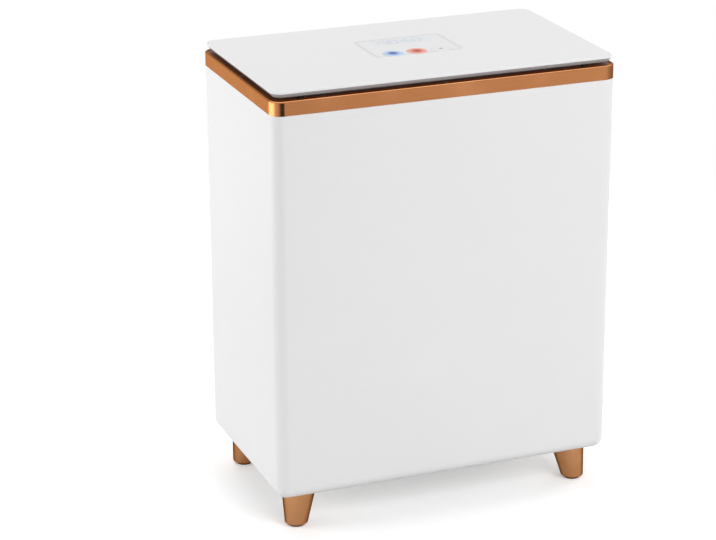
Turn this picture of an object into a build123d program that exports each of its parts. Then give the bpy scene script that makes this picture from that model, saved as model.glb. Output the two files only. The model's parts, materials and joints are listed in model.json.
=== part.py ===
from build123d import *
import os

os.makedirs("parts", exist_ok=True)

# Free-standing electric towel warmer: a heated bucket in a moulded housing on four legs, under a hinged lid.
# Millimetres. X runs across the front, +Y to the back, +Z up. The origin lies on the floor, at the centre of
# the footprint.

# ---------------------------------------------------------------- clearances
fit_gap = 0.05          # hard parts that locate each other
rest_gap = 0.1          # a part laid on another
soft_gap = 0.3          # foam, felt and silicone beside anything else
running_gap = 0.05      # hinge pin in the turning knuckle, on the radius
key_gap = 0.3           # key in its hole, on the radius
liner_gap = 0.2         # lid liner inside the lid skirt
collar_gap = 0.1        # collar inside the band
stud_gap = 0.3          # stud in the shell floor, on the radius
lead_gap = 0.1          # lead in its terminal, on the radius
joined = 0.5            # how far parts of one solid run into each other

# ---------------------------------------------------------------- housing
body_width = 400.0
body_depth = 236.0
body_corner_r = 13.0
body_bottom_r = 13.0
shell_height = 458.0    # underside of the housing to the top of the band
shell_wall = 2.5
shell_floor = 3.5
boss_r = 4.0
boss_height = 18.0
boss_sunk = 0.5         # boss into the wall behind it
boss_floor = 2.0        # closed end of a blind boss
boss_inset_x = 60.0     # front boss in from the side of the housing
rear_boss_x = 45.0

band_height = 16.0
band_wall = 1.5
band_proud = 0.5
band_lip = 1.5          # band over the edge of the collar
band_edge_r = 1.5

collar_wall = 3.0
collar_drop = 0.7       # collar below the top of the band
hinge_pad_wall = 4.0
hinge_pad_height = 26.0
hinge_pad_width = 56.0

# ---------------------------------------------------------------- legs
leg_height = 42.0       # floor to the underside of the housing
leg_top_r = 19.5
leg_low_r = 13.0
leg_chamfer = 2.0
leg_inset_x = 34.0      # leg top centre in from the side of the housing
leg_inset_y = 32.5      # leg top centre in from the front and back
leg_splay = 5.0         # how far the foot stands out past the leg top, along X and along Y
pad_height = 1.5
pad_r = 9.5
pad_plug_r = 6.0
pad_plug_height = 2.0
stud_r = 4.0
stud_in_leg = 20.0
stud_above_nut = 2.0
leg_plate_x = 38.0
leg_plate_y = 34.0
leg_plate_wall = 2.0
leg_plate_corner_r = 4.0
leg_nut_flats = 13.0
leg_nut_height = 6.5

# ---------------------------------------------------------------- bucket, heaters and insulation
bucket_gap = 22.0       # outside of the housing to the outside of the bucket
bucket_wall = 1.2
bucket_corner_r = 22.0
bucket_bottom_r = 12.0
bucket_flange = 8.0
bucket_hole_gap = 0.4
bay_height = 45.5       # electronics bay, shell floor to heat shield
mat_wall = 1.2
base_mat_inset = 28.0   # base mat in from the outside of the bucket
side_mat_low = 26.0     # above the underside of the bucket
side_mat_height = 200.0
wrap_wall = 8.0
wrap_drop = 28.0        # below the collar
base_wool_inset = 8.0   # base wool in from the outside of the bucket
base_wool_height = 8.0
shield_inset_x = 30.0   # heat shield in from the outside of the housing
shield_inset_y = 16.0
shield_wall = 1.0
shield_corner_r = 14.0
shield_post_inset_x = 110.0
shield_post_inset_y = 25.0
shield_post_r = 6.0

thermostat_x = 70.0
thermostat_r = 8.0
thermostat_height = 7.0
tag_x = 4.5             # thermostat tag out from the middle
tag_width = 4.0
tag_wall = 0.8
tag_drop = 4.0
fuse_x = -40.0
fuse_r = 2.2
fuse_length = 12.0
fuse_wire_r = 0.5
fuse_wire_inset = 1.0
fuse_wire_drop = 8.0
probe_y = 40.0
probe_r = 2.5
probe_height = 8.0
probe_edge_r = 1.0
mat_hole_gap = 2.0
wool_hole_gap = 2.5
lead_hole_r = 7.0
lead_hole_y = -24.0

# ---------------------------------------------------------------- service cover and electronics
hatch_inset_x = 60.0    # service hole in from the outside of the housing
hatch_inset_y = 56.0
hatch_corner_r = 12.0
cover_lap = 10.0        # how far the cover reaches past the service hole
cover_wall = 1.5
vent_count = 8
vent_pitch = 9.0
vent_width = 3.0
vent_length = 34.0
vent_first_x = 42.0
vent_corner_r = 1.4
cover_screw_x = 80.0
standoff_r = 3.5
standoff_height = 8.5

board_x = 120.0
board_y = 84.0
board_wall = 1.6
board_corner_r = 2.0
board_inset = 25.0      # power board in from the end of the service hole
board_hole_inset = 6.0
transformer_size = (42.0, 36.0, 30.0)
transformer_inset = 12.0
core_depth = 21.6
core_lift = 3.0
coil_x = 26.0
coil_corner_r = 4.0
relay_size = (28.0, 12.0, 16.0)
relay_offset = 8.0      # relay from the middle of the power board
relay_y = 14.0
relay_edge_r = 0.8
terminal_size = (34.0, 12.0, 14.0)
terminal_offset = 43.6  # terminal block from the middle of the power board
terminal_wells = 4
terminal_pitch = 8.5
terminal_well_depth = 5.0

gland_inset = 80.0      # cord gland in from the side of the housing
gland_rise = 24.0       # cord gland above the underside of the housing
gland_r = 6.0
gland_bore_r = 3.5
gland_length = 20.0
gland_flange_r = 9.5
gland_recess = 1.2
gland_nut_flats = 17.0
gland_nut_height = 5.0

lead_r = 1.2
lead_bend_r = 8.0
lead_pitch = 6.0
lead_step = 12.0        # height over which a heater lead steps sideways
sensor_lead_r = 0.8
sensor_bend_r = 5.0
sensor_lead_drop = 14.0 # highest run of a sensor lead below the heat shield
sensor_pad_offset = 47.0    # where the leads leave the power board, from its middle
sensor_pad_y = 8.0
probe_pad_y = 28.0
probe_lead_low = 8.0    # slope of the probe's lead, below and above the run of the others
probe_lead_high = 6.0
fuse_pad_offset = 25.0
cable_r = 1.1
cable_bend_r = 8.0
cable_run = 5.0         # straight run on the hinge line, each side of the joint in the cable
cable_rise = 28.0       # lowest run of the lid cable above the power board

# ---------------------------------------------------------------- lid
lid_gap = 3.0           # band to lid
lid_height = 7.0
lid_inset = 1.5         # lid in from the side of the housing
lid_skin = 3.0
lid_skirt = 4.5
lid_edge_r = 1.0
undercut_height = 4.5
undercut_depth = 3.5
liner_wall = 1.5
plug_gap = 1.8
plug_depth = 17.0       # underside of the lid to the underside of the liner
plug_edge_r = 3.0
lid_wool_height = 9.2
gasket_width = 3.0
gasket_inset = 1.0      # gasket out from the outside of the bucket
bumper_r = 3.5
bumper_inset = 35.0     # bumper in from the side of the housing
lid_boss_r = 3.2
lid_screw_inset = 4.5   # lid screw in from the lid skirt
front_screw_inset = 80.0
rear_screw_x = 50.0

# ---------------------------------------------------------------- hinge
hinge_inset = 80.0      # middle of a hinge in from the side of the housing
hinge_width = 40.0
leaf_screw_x = 12.0
bracket_screw_drop = 15.6
hinge_lift = 0.8        # hinge line above the underside of the lid
knuckle_r = 2.5
knuckle_gap = 0.3
pin_r = 1.25
pin_reach = 0.6
leaf_wall = 1.5
bracket_drop = 24.0     # bracket below the collar
lid_leaf_depth = 7.5
lid_leaf_reach = 5.0    # lid leaf in from the hinge line
notch_gap = 1.2

# ---------------------------------------------------------------- control panel
panel_x = 105.0
panel_y = 75.0
panel_corner_r = 6.0
panel_wall = 1.6
panel_centre_x = 5.0
panel_centre_y = 10.0
panel_gap = 0.25
window_x = 66.0
window_y = 24.0
window_corner_r = 3.0
window_centre_y = 21.0  # window behind the panel centre
window_lap = 3.0
window_gap = 0.1
window_hole_r = 1.0
key_r = 11.1
key_pitch = 28.5
key_row_y = 25.8        # keys in front of the panel centre
key_proud = 0.3
key_flange = 1.5
key_flange_wall = 0.8
key_travel = 0.6
key_edge_r = 0.3
key_stem_r = 2.5
switch_side = 6.0
switch_body = 3.2
switch_height = 4.0
plunger_r = 1.75
control_board_x = 100.0
control_board_y = 66.0
control_hole_inset = 4.5
control_post_r = 3.0
control_drop = 6.5      # control board below the lid skin
module_size = (54.0, 16.0, 7.5)
module_corner_r = 0.8
lead_sweep_r = 40.0     # gentle turn of the lid cable on its way to the board
cable_end_inset = 6.0

# ---------------------------------------------------------------- screws
screw_r = 1.4
screw_head_r = 2.5
screw_head = 1.4
screw_hole_r = 1.6
collar_screw_length = 12.0
cover_screw_length = 9.0
board_screw_length = 8.0
shield_screw_length = 10.0
bracket_screw_length = 5.0
lid_screw_length = 5.0
control_screw_length = 6.4

# ---------------------------------------------------------------- places worked out from the sizes above
floor_top = leg_height + shell_floor
band_top = leg_height + shell_height
band_low = band_top - band_height
collar_top = band_top - collar_drop
collar_low = collar_top - collar_wall
rebate = band_wall - band_proud
inner_x = body_width / 2 - shell_wall
inner_y = body_depth / 2 - shell_wall
boss_wall_x = inner_x - boss_r + boss_sunk
boss_wall_y = inner_y - boss_r + boss_sunk
hatch_x = body_width - 2 * hatch_inset_x
hatch_y = body_depth - 2 * hatch_inset_y
lid_low = band_top + lid_gap
lid_top = lid_low + lid_height
lid_width = body_width - 2 * lid_inset
lid_depth = body_depth - 2 * lid_inset
lid_corner_r = body_corner_r - lid_inset
skin_low = lid_top - lid_skin
liner_top = lid_low + liner_wall
plug_low = lid_low - plug_depth

bucket_width = body_width - 2 * bucket_gap
bucket_depth = body_depth - 2 * bucket_gap
shield_low = floor_top + bay_height
shield_top = shield_low + shield_wall
base_wool_low = shield_top + rest_gap
base_mat_low = base_wool_low + base_wool_height + rest_gap
bucket_low = base_mat_low + mat_wall + rest_gap
plug_width = bucket_width - 2 * bucket_wall - 2 * plug_gap
plug_length = bucket_depth - 2 * bucket_wall - 2 * plug_gap
plug_corner_r = bucket_corner_r - bucket_wall - plug_gap

hinge_x = body_width / 2 - hinge_inset
hinge_y = lid_depth / 2 - knuckle_r
hinge_z = lid_low + hinge_lift
pad_front = inner_y - soft_gap - hinge_pad_wall
leaf_back = pad_front - fit_gap
leaf_front = leaf_back - leaf_wall
lid_leaf_low = lid_low - leaf_wall
lid_leaf_back = hinge_y - lid_leaf_reach
lid_leaf_centre = lid_leaf_back - lid_leaf_depth / 2
notch_half = hinge_width / 2 + notch_gap
notch_front = hinge_y - knuckle_r - soft_gap
notch_high = hinge_z + knuckle_r + soft_gap
bracket_screw_z = collar_low - bracket_screw_drop

board_low = leg_height + fit_gap + cover_wall + standoff_height
board_top = board_low + board_wall
board_centre_x = -hatch_x / 2 + board_inset + board_x / 2
relay_x = board_centre_x + relay_offset
terminal_x = board_centre_x + terminal_offset
sensor_pad_x = board_centre_x + sensor_pad_offset
fuse_pad_x = board_centre_x + fuse_pad_offset
gland_x = -(body_width / 2 - gland_inset)
gland_z = leg_height + gland_rise
cover_boss_top = leg_height + fit_gap + cover_screw_length + fit_gap + boss_floor
window_y_centre = panel_centre_y + window_centre_y
key_y = panel_centre_y - key_row_y
key_hole_r = key_r + key_gap
key_flange_top = skin_low - rest_gap
control_top = skin_low - control_drop
control_low = control_top - board_wall
cable_turn_x = hinge_x - notch_half - cable_r - 2 * soft_gap
cable_split_x = cable_turn_x - cable_bend_r - cable_run
cable_x = cable_split_x - cable_bend_r - cable_run
cable_y = inner_y - soft_gap - cable_r - fit_gap
lid_rim = lid_depth / 2 - lid_skirt - lid_screw_inset

front_screws = [(step * (body_width / 2 - front_screw_inset), -lid_rim) for step in (-1, 0, 1)]
rear_screws = [(side * rear_screw_x, lid_rim) for side in (-1, 1)]
side_screws = [(side * (lid_width / 2 - lid_skirt - lid_screw_inset), 0.0) for side in (-1, 1)]
lid_screw_places = front_screws + rear_screws + side_screws
shell_boss_places = (
    [(step * (body_width / 2 - boss_inset_x), -boss_wall_y) for step in (-1, 0, 1)]
    + [(side * rear_boss_x, boss_wall_y) for side in (-1, 1)]
    + [(side * boss_wall_x, 0.0) for side in (-1, 1)]
)
leaf_screw_places = [
    (side * hinge_x + step * leaf_screw_x, lid_leaf_centre) for side in (-1, 1) for step in (-1, 1)
]
leg_places = {
    "front_left": (-1, -1),
    "front_right": (1, -1),
    "rear_left": (-1, 1),
    "rear_right": (1, 1),
}
shield_post_places = [
    (side * (body_width / 2 - shield_post_inset_x), end * (body_depth / 2 - shield_post_inset_y))
    for side in (-1, 1)
    for end in (-1, 1)
]
cover_margin_x = hatch_x / 2 + cover_lap / 2
cover_margin_y = hatch_y / 2 + cover_lap / 2
cover_screw_places = [(side * cover_margin_x, 0.0) for side in (-1, 1)] + [
    (x * cover_screw_x, y * cover_margin_y) for x in (-1, 1) for y in (-1, 1)
]
board_hole_places = [
    (board_centre_x + x * (board_x / 2 - board_hole_inset), y * (board_y / 2 - board_hole_inset))
    for x in (-1, 1)
    for y in (-1, 1)
]
control_hole_places = [
    (
        panel_centre_x + x * (control_board_x / 2 - control_hole_inset),
        panel_centre_y + y * (control_board_y / 2 - control_hole_inset),
    )
    for x in (-1, 1)
    for y in (-1, 1)
]
key_places = {
    "blue_button": panel_centre_x - key_pitch,
    "red_button": panel_centre_x,
    "white_button": panel_centre_x + key_pitch,
}


# ---------------------------------------------------------------- shapes used again and again
def slab(width, depth, low, high, corner_r, x=0.0, y=0.0):
    """Upright prism on a rounded rectangle."""
    return Pos(x, y, low) * extrude(RectangleRounded(width, depth, corner_r), amount=high - low)


def ring(width, depth, wall, low, high, corner_r):
    """Upright ring between a rounded rectangle and the one a wall inside it."""
    outline = RectangleRounded(width, depth, corner_r)
    outline -= RectangleRounded(width - 2 * wall, depth - 2 * wall, corner_r - wall)
    return Pos(0, 0, low) * extrude(outline, amount=high - low)


def block(x_low, x_high, y_low, y_high, z_low, z_high):
    """Plain block between two corners."""
    centre = ((x_low + x_high) / 2, (y_low + y_high) / 2, (z_low + z_high) / 2)
    return Pos(*centre) * Box(x_high - x_low, y_high - y_low, z_high - z_low)


def rod(radius, low, high, x, y):
    """Upright cylinder."""
    return Pos(x, y, (low + high) / 2) * Cylinder(radius, high - low)


def rod_along_x(radius, low, high, y, z):
    """Cylinder along X."""
    return Pos((low + high) / 2, y, z) * Rot(0, 90, 0) * Cylinder(radius, high - low)


def rod_along_y(radius, low, high, x, z):
    """Cylinder along Y."""
    return Pos(x, (low + high) / 2, z) * Rot(90, 0, 0) * Cylinder(radius, high - low)


def rods(radius, low, high, places):
    """Upright cylinders at a list of places, to add or cut in one step."""
    return [rod(radius, low, high, x, y) for x, y in places]


def hexagon(flats, low, high, x, y):
    """Upright hexagonal prism, sized across its flats."""
    outline = RegularPolygon(flats / 2, 6, major_radius=False)
    return Pos(x, y, low) * extrude(outline, amount=high - low)


def screw_up(x, y, seat, length):
    """Screw driven upwards, with its head below the seat."""
    return rod(screw_head_r, seat - screw_head, seat, x, y) + rod(screw_r, seat - joined, seat + length, x, y)


def screw_down(x, y, seat, length):
    """Screw driven downwards, with its head above the seat."""
    return rod(screw_head_r, seat, seat + screw_head, x, y) + rod(screw_r, seat - length, seat + joined, x, y)


def wire(points, radius, bend_r):
    """Round wire along straight runs joined by arcs."""
    path = FilletPolyline(*points, radius=bend_r)
    section = Plane(origin=path @ 0, z_dir=path % 0) * Circle(radius)
    return sweep(section, path=path)


def bottom_edges(part):
    """Edges of the lowest face."""
    return part.faces().sort_by(Axis.Z)[0].edges()


def top_edges(part):
    """Edges of the highest face."""
    return part.faces().sort_by(Axis.Z)[-1].edges()


def group(solids):
    """Separate solids kept in one node."""
    return Compound(children=list(solids))


def save(name, part):
    """Write one node."""
    export_step(part, f"parts/{name}.step")


# ---------------------------------------------------------------- housing
def make_outer_shell():
    body = slab(body_width, body_depth, leg_height, collar_low, body_corner_r)
    body = fillet(bottom_edges(body), body_bottom_r)
    cavity_r = body_corner_r - shell_wall
    cavity = slab(2 * inner_x, 2 * inner_y, floor_top, collar_low + shell_wall, cavity_r)
    cavity = fillet(bottom_edges(cavity), body_bottom_r - shell_wall)
    body -= cavity
    band_zone = ring(
        body_width + 2 * shell_wall,
        body_depth + 2 * shell_wall,
        shell_wall + rebate,
        band_low,
        band_top,
        body_corner_r + shell_wall,
    )
    body -= band_zone
    body += rods(boss_r, collar_low - boss_height, collar_low, shell_boss_places)
    body -= slab(hatch_x, hatch_y, leg_height - 1, floor_top + 1, hatch_corner_r)
    lap = 2 * (cover_lap + fit_gap)
    lap_top = leg_height + 2 * fit_gap + cover_wall
    body -= slab(hatch_x + lap, hatch_y + lap, leg_height - 1, lap_top, hatch_corner_r + cover_lap)
    body += rods(boss_r, lap_top, cover_boss_top, cover_screw_places)
    body += rods(shield_post_r, floor_top - joined, shield_low, shield_post_places)
    pilot_r = screw_r + fit_gap
    body -= rods(pilot_r, collar_low - boss_height + boss_floor, collar_low + 1, shell_boss_places)
    body -= rods(pilot_r, leg_height, cover_boss_top - boss_floor, cover_screw_places)
    body -= rods(pilot_r, shield_low - shield_screw_length - boss_floor, shield_low + 1, shield_post_places)
    leg_tops = [leg_top(*place) for place in leg_places.values()]
    body -= rods(stud_r + stud_gap, leg_height - 1, floor_top + 1, leg_tops)
    wall_face = body_depth / 2
    body -= rod_along_y(gland_r + rest_gap, inner_y - 1, wall_face + 1, gland_x, gland_z)
    body -= rod_along_y(gland_flange_r + rest_gap, wall_face - gland_recess, wall_face + 1, gland_x, gland_z)
    return body


def make_trim_band():
    width = body_width + 2 * band_proud
    depth = body_depth + 2 * band_proud
    wall = band_wall - fit_gap
    corner_r = body_corner_r + band_proud
    band = ring(width, depth, wall, band_low + fit_gap, band_top, corner_r)
    band += ring(width, depth, wall + band_lip, collar_top + fit_gap, band_top, corner_r)
    outline = band.faces().sort_by(Axis.Z)[-1].outer_wire()
    return fillet(outline.edges(), band_edge_r)


def make_top_collar():
    width = body_width - 2 * (rebate + collar_gap)
    depth = body_depth - 2 * (rebate + collar_gap)
    collar = slab(width, depth, collar_low, collar_top, body_corner_r - rebate - collar_gap)
    hole_x = bucket_width + 2 * bucket_hole_gap
    hole_y = bucket_depth + 2 * bucket_hole_gap
    collar -= slab(hole_x, hole_y, collar_low - 1, collar_top + 1, bucket_corner_r + bucket_hole_gap)
    reach = 2 * (bucket_flange + soft_gap)
    seat = collar_top - bucket_wall - rest_gap
    seat_r = bucket_corner_r + bucket_flange + soft_gap
    collar -= slab(bucket_width + reach, bucket_depth + reach, seat, collar_top + 1, seat_r)
    for side in (-1, 1):
        middle = side * hinge_x
        half = hinge_pad_width / 2
        pad_back = inner_y - soft_gap
        collar += block(
            middle - half, middle + half, pad_front, pad_back, collar_low - hinge_pad_height, collar_low + 1
        )
        slot = hinge_width / 2 + soft_gap
        collar -= block(
            middle - slot, middle + slot, leaf_front - soft_gap, pad_front, collar_low - 1, collar_top + 1
        )
        for step in (-1, 1):
            x = middle + step * leaf_screw_x
            collar -= rod_along_y(screw_r + fit_gap, pad_front - 1, pad_back + 1, x, bracket_screw_z)
    head_low = collar_top - screw_head - rest_gap
    collar -= rods(screw_hole_r, collar_low - 1, collar_top + 1, shell_boss_places)
    collar -= rods(screw_head_r + rest_gap, head_low, collar_top + 1, shell_boss_places)
    slot_end = cable_x + cable_bend_r
    slot_half = cable_r + soft_gap
    slot_front = cable_y - slot_half
    slot_back = cable_y + slot_half
    collar -= block(cable_x - slot_half, slot_end, slot_front, slot_back, collar_low - 1, collar_top + 1)
    return collar


def make_collar_screws():
    seat = collar_top - screw_head - rest_gap / 2
    return group(screw_down(x, y, seat, collar_screw_length) for x, y in shell_boss_places)


# ---------------------------------------------------------------- bucket, heaters and insulation
def make_inner_bucket():
    outside = slab(bucket_width, bucket_depth, bucket_low, collar_top, bucket_corner_r)
    outside = fillet(bottom_edges(outside), bucket_bottom_r)
    reach = 2 * bucket_flange
    flange_r = bucket_corner_r + bucket_flange
    flange_low = collar_top - bucket_wall
    outside += slab(bucket_width + reach, bucket_depth + reach, flange_low, collar_top, flange_r)
    inside = slab(
        bucket_width - 2 * bucket_wall,
        bucket_depth - 2 * bucket_wall,
        bucket_low + bucket_wall,
        collar_top + 1,
        bucket_corner_r - bucket_wall,
    )
    inside = fillet(bottom_edges(inside), bucket_bottom_r - bucket_wall)
    return outside - inside


def make_heater_side_mat():
    grow = 2 * (mat_wall + fit_gap)
    low = bucket_low + side_mat_low
    corner_r = bucket_corner_r + mat_wall + fit_gap
    return ring(bucket_width + grow, bucket_depth + grow, mat_wall, low, low + side_mat_height, corner_r)


def cut_sensor_holes(part, low, high, grow):
    """Holes for the thermostat, the fuse and the probe."""
    part -= rod(thermostat_r + grow, low - 1, high + 1, thermostat_x, 0)
    part -= slab(fuse_length + 2 * grow, 4 * fuse_r + 2 * grow, low - 1, high + 1, grow, fuse_x, 0)
    part -= rod(probe_r + grow, low - 1, high + 1, 0, probe_y)
    return part


def make_heater_base_mat():
    high = base_mat_low + mat_wall
    width = bucket_width - 2 * base_mat_inset
    depth = bucket_depth - 2 * base_mat_inset
    mat = slab(width, depth, base_mat_low, high, bucket_bottom_r)
    return cut_sensor_holes(mat, base_mat_low, high, mat_hole_gap)


def make_insulation_base():
    high = base_wool_low + base_wool_height
    width = bucket_width - 2 * base_wool_inset
    depth = bucket_depth - 2 * base_wool_inset
    wool = slab(width, depth, base_wool_low, high, bucket_corner_r)
    wool -= rod(lead_hole_r, base_wool_low - 1, high + 1, 0, lead_hole_y)
    return cut_sensor_holes(wool, base_wool_low, high, wool_hole_gap)


def make_insulation_wrap():
    inside = mat_wall + fit_gap + soft_gap
    grow = 2 * (inside + wrap_wall)
    corner_r = bucket_corner_r + inside + wrap_wall
    high = collar_low - wrap_drop
    return ring(bucket_width + grow, bucket_depth + grow, wrap_wall, bucket_low, high, corner_r)


def make_heat_shield():
    width = body_width - 2 * shield_inset_x
    depth = body_depth - 2 * shield_inset_y
    shield = slab(width, depth, shield_low, shield_top, shield_corner_r)
    shield -= rod(lead_hole_r, shield_low - 1, shield_top + 1, 0, lead_hole_y)
    shield -= rods(screw_hole_r, shield_low - 1, shield_top + 1, shield_post_places)
    sensor_places = [(thermostat_x, 0.0), (fuse_x, 0.0), (0.0, probe_y)]
    shield -= rods(lead_hole_r, shield_low - 1, shield_top + 1, sensor_places)
    return shield


def make_heat_shield_screws():
    return group(screw_down(x, y, shield_top, shield_screw_length) for x, y in shield_post_places)


def make_thermostat():
    high = bucket_low - fit_gap
    can = rod(thermostat_r, high - thermostat_height, high, thermostat_x, 0)
    tag_low = high - thermostat_height - tag_drop
    for side in (-1, 1):
        x = thermostat_x + side * tag_x
        half = tag_wall / 2
        can += block(x - half, x + half, -tag_width / 2, tag_width / 2, tag_low, high - joined)
    return can


def make_thermal_fuse():
    z = bucket_low - fit_gap - fuse_r
    half = fuse_length / 2
    fuse = rod_along_x(fuse_r, fuse_x - half, fuse_x + half, 0, z)
    for side in (-1, 1):
        x = fuse_x + side * (half - fuse_wire_inset)
        fuse += rod(fuse_wire_r, z - fuse_wire_drop, z, x, 0)
    return fuse


def make_temperature_probe():
    high = bucket_low - fit_gap
    return fillet(bottom_edges(rod(probe_r, high - probe_height, high, 0, probe_y)), probe_edge_r)


# ---------------------------------------------------------------- service cover and electronics
def make_base_cover():
    low = leg_height + fit_gap
    high = low + cover_wall
    lap = 2 * cover_lap
    cover = slab(hatch_x + lap, hatch_y + lap, low, high, hatch_corner_r + cover_lap)
    cover += rods(standoff_r, low, board_low, board_hole_places)
    for i in range(vent_count):
        x = vent_first_x + i * vent_pitch
        cover -= slab(vent_width, vent_length, low - 1, high + 1, vent_corner_r, x)
    cover -= rods(screw_hole_r, low - 1, high + 1, cover_screw_places)
    cover -= rods(screw_r + fit_gap, high, board_low + 1, board_hole_places)
    return cover


def make_base_cover_screws():
    seat = leg_height + fit_gap
    return group(screw_up(x, y, seat, cover_screw_length) for x, y in cover_screw_places)


def make_power_board():
    board = slab(board_x, board_y, board_low, board_top, board_corner_r, board_centre_x)
    return board - rods(screw_hole_r, board_low - 1, board_top + 1, board_hole_places)


def make_power_board_screws():
    return group(screw_down(x, y, board_top, board_screw_length) for x, y in board_hole_places)


def make_transformer():
    x, y, z = transformer_size
    middle = board_centre_x - board_x / 2 + transformer_inset + x / 2
    low = board_top + core_lift
    high = board_top + z - core_lift
    core = block(middle - x / 2, middle + x / 2, -core_depth / 2, core_depth / 2, low, high)
    return core + slab(coil_x, y, board_top, board_top + z, coil_corner_r, middle)


def make_relay():
    x, y, z = relay_size
    case = block(relay_x, relay_x + x, relay_y, relay_y + y, board_top, board_top + z)
    return fillet(top_edges(case), relay_edge_r)


def make_terminal_block():
    x, y, z = terminal_size
    high = board_top + z
    y_low = lead_hole_y - y / 2
    case = block(terminal_x - x / 2, terminal_x + x / 2, y_low, y_low + y, board_top, high)
    wells = [(well_x(i), lead_hole_y) for i in range(terminal_wells)]
    return case - rods(lead_r + lead_gap, high - terminal_well_depth, high + 1, wells)


def well_x(index):
    """Middle of one well of the terminal block."""
    return terminal_x + (index - (terminal_wells - 1) / 2) * terminal_pitch


def make_heater_leads():
    high = base_mat_low - fit_gap
    low = board_top + terminal_size[2] - terminal_well_depth + fit_gap
    knee = (low + high) / 2
    leads = []
    for side in (0, 1):
        well = well_x(terminal_wells - 2 + side)
        top = (side - 0.5) * lead_pitch
        points = [(well, lead_hole_y, low), (well, lead_hole_y, knee - lead_step / 2)]
        points += [(top, lead_hole_y, knee + lead_step / 2), (top, lead_hole_y, high)]
        leads.append(wire(points, lead_r, lead_bend_r))
    return group(leads)


def make_sensor_leads():
    start = board_top + fit_gap
    rise = shield_low - sensor_lead_drop
    under = bucket_low - 2 * fit_gap
    tag_end = under - thermostat_height - tag_drop
    tag_place = thermostat_x - tag_x
    to_thermostat = [(sensor_pad_x, sensor_pad_y, start), (sensor_pad_x, sensor_pad_y, rise)]
    to_thermostat += [(tag_place, 0, rise), (tag_place, 0, tag_end)]
    probe_end = under - probe_height
    to_probe = [(sensor_pad_x, probe_pad_y, start), (sensor_pad_x, probe_pad_y, rise - probe_lead_low)]
    to_probe += [(0, probe_y, rise + probe_lead_high), (0, probe_y, probe_end)]
    fuse_end = under - fuse_r - fuse_wire_drop
    fuse_place = fuse_x + fuse_length / 2 - fuse_wire_inset
    to_fuse = [(fuse_pad_x, -sensor_pad_y, start), (fuse_pad_x, -sensor_pad_y, rise)]
    to_fuse += [(fuse_place, 0, rise), (fuse_place, 0, fuse_end)]
    return group(wire(points, sensor_lead_r, sensor_bend_r) for points in (to_thermostat, to_probe, to_fuse))


def make_cord_gland():
    back = body_depth / 2 + band_proud
    seat = body_depth / 2 - gland_recess
    barrel = rod_along_y(gland_r, back - gland_length, seat + joined, gland_x, gland_z)
    barrel += rod_along_y(gland_flange_r, seat, back, gland_x, gland_z)
    return barrel - rod_along_y(gland_bore_r, back - gland_length - 1, back + 1, gland_x, gland_z)


def make_cord_gland_nut():
    high = inner_y - fit_gap
    nut = hexagon(gland_nut_flats, -gland_nut_height / 2, gland_nut_height / 2, 0, 0)
    nut -= rod(gland_r + fit_gap, -gland_nut_height, gland_nut_height, 0, 0)
    return Pos(gland_x, high - gland_nut_height / 2, gland_z) * Rot(90, 0, 0) * nut


def make_lid_cable_lower():
    start = board_top + fit_gap
    rise = board_top + cable_rise
    y = board_y / 2 - cable_bend_r
    points = [
        (-30, y, start),
        (-30, y, rise),
        (cable_x, y, rise),
        (cable_x, cable_y, rise),
        (cable_x, cable_y, hinge_z),
        (cable_split_x, cable_y, hinge_z),
    ]
    return wire(points, cable_r, cable_bend_r)


# ---------------------------------------------------------------- legs
def leg_top(side_x, side_y):
    """Centre of a leg where it meets the housing."""
    return (side_x * (body_width / 2 - leg_inset_x), side_y * (body_depth / 2 - leg_inset_y))


def leg_foot(side_x, side_y):
    """Centre of a leg at the floor."""
    x, y = leg_top(side_x, side_y)
    return (x + side_x * leg_splay, y + side_y * leg_splay)


def make_leg(side_x, side_y):
    top_x, top_y = leg_top(side_x, side_y)
    low_x, low_y = leg_foot(side_x, side_y)
    sections = [
        Pos(low_x, low_y, pad_height) * Circle(leg_low_r - leg_chamfer),
        Pos(low_x, low_y, pad_height + leg_chamfer) * Circle(leg_low_r),
        Pos(top_x, top_y, leg_height) * Circle(leg_top_r),
    ]
    leg = loft(sections, ruled=True)
    leg -= rod(stud_r + fit_gap, leg_height - stud_in_leg, leg_height + 1, top_x, top_y)
    leg -= rod(pad_plug_r, pad_height - 1, pad_height + pad_plug_height, low_x, low_y)
    return leg


def make_leg_studs():
    high = floor_top + leg_plate_wall + leg_nut_height + stud_above_nut
    places = [leg_top(*place) for place in leg_places.values()]
    return group(rods(stud_r, leg_height - stud_in_leg + fit_gap, high, places))


def make_leg_plates():
    plates = []
    for place in leg_places.values():
        x, y = leg_top(*place)
        low = floor_top + fit_gap
        plate = slab(leg_plate_x, leg_plate_y, low, low + leg_plate_wall, leg_plate_corner_r, x, y)
        plates.append(plate - rod(stud_r + rest_gap, low - 1, low + leg_plate_wall + 1, x, y))
    return group(plates)


def make_leg_nuts():
    nuts = []
    for place in leg_places.values():
        x, y = leg_top(*place)
        low = floor_top + 2 * fit_gap + leg_plate_wall
        nut = hexagon(leg_nut_flats, low, low + leg_nut_height, x, y)
        nuts.append(nut - rod(stud_r + fit_gap, low - 1, low + leg_nut_height + 1, x, y))
    return group(nuts)


def make_leg_pads():
    pads = []
    for place in leg_places.values():
        x, y = leg_foot(*place)
        pad = rod(pad_r, 0, pad_height, x, y)
        plug_top = pad_height + pad_plug_height - rest_gap
        pads.append(pad + rod(pad_plug_r - rest_gap, pad_height - joined, plug_top, x, y))
    return group(pads)


# ---------------------------------------------------------------- hinges
def knuckle_spans():
    """Where the two outer knuckles and the middle one lie along X, from the middle of a hinge."""
    inner = hinge_width / 6
    outer = hinge_width / 2
    return [(-outer, -inner - knuckle_gap), (inner + knuckle_gap, outer)], (-inner, inner)


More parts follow.
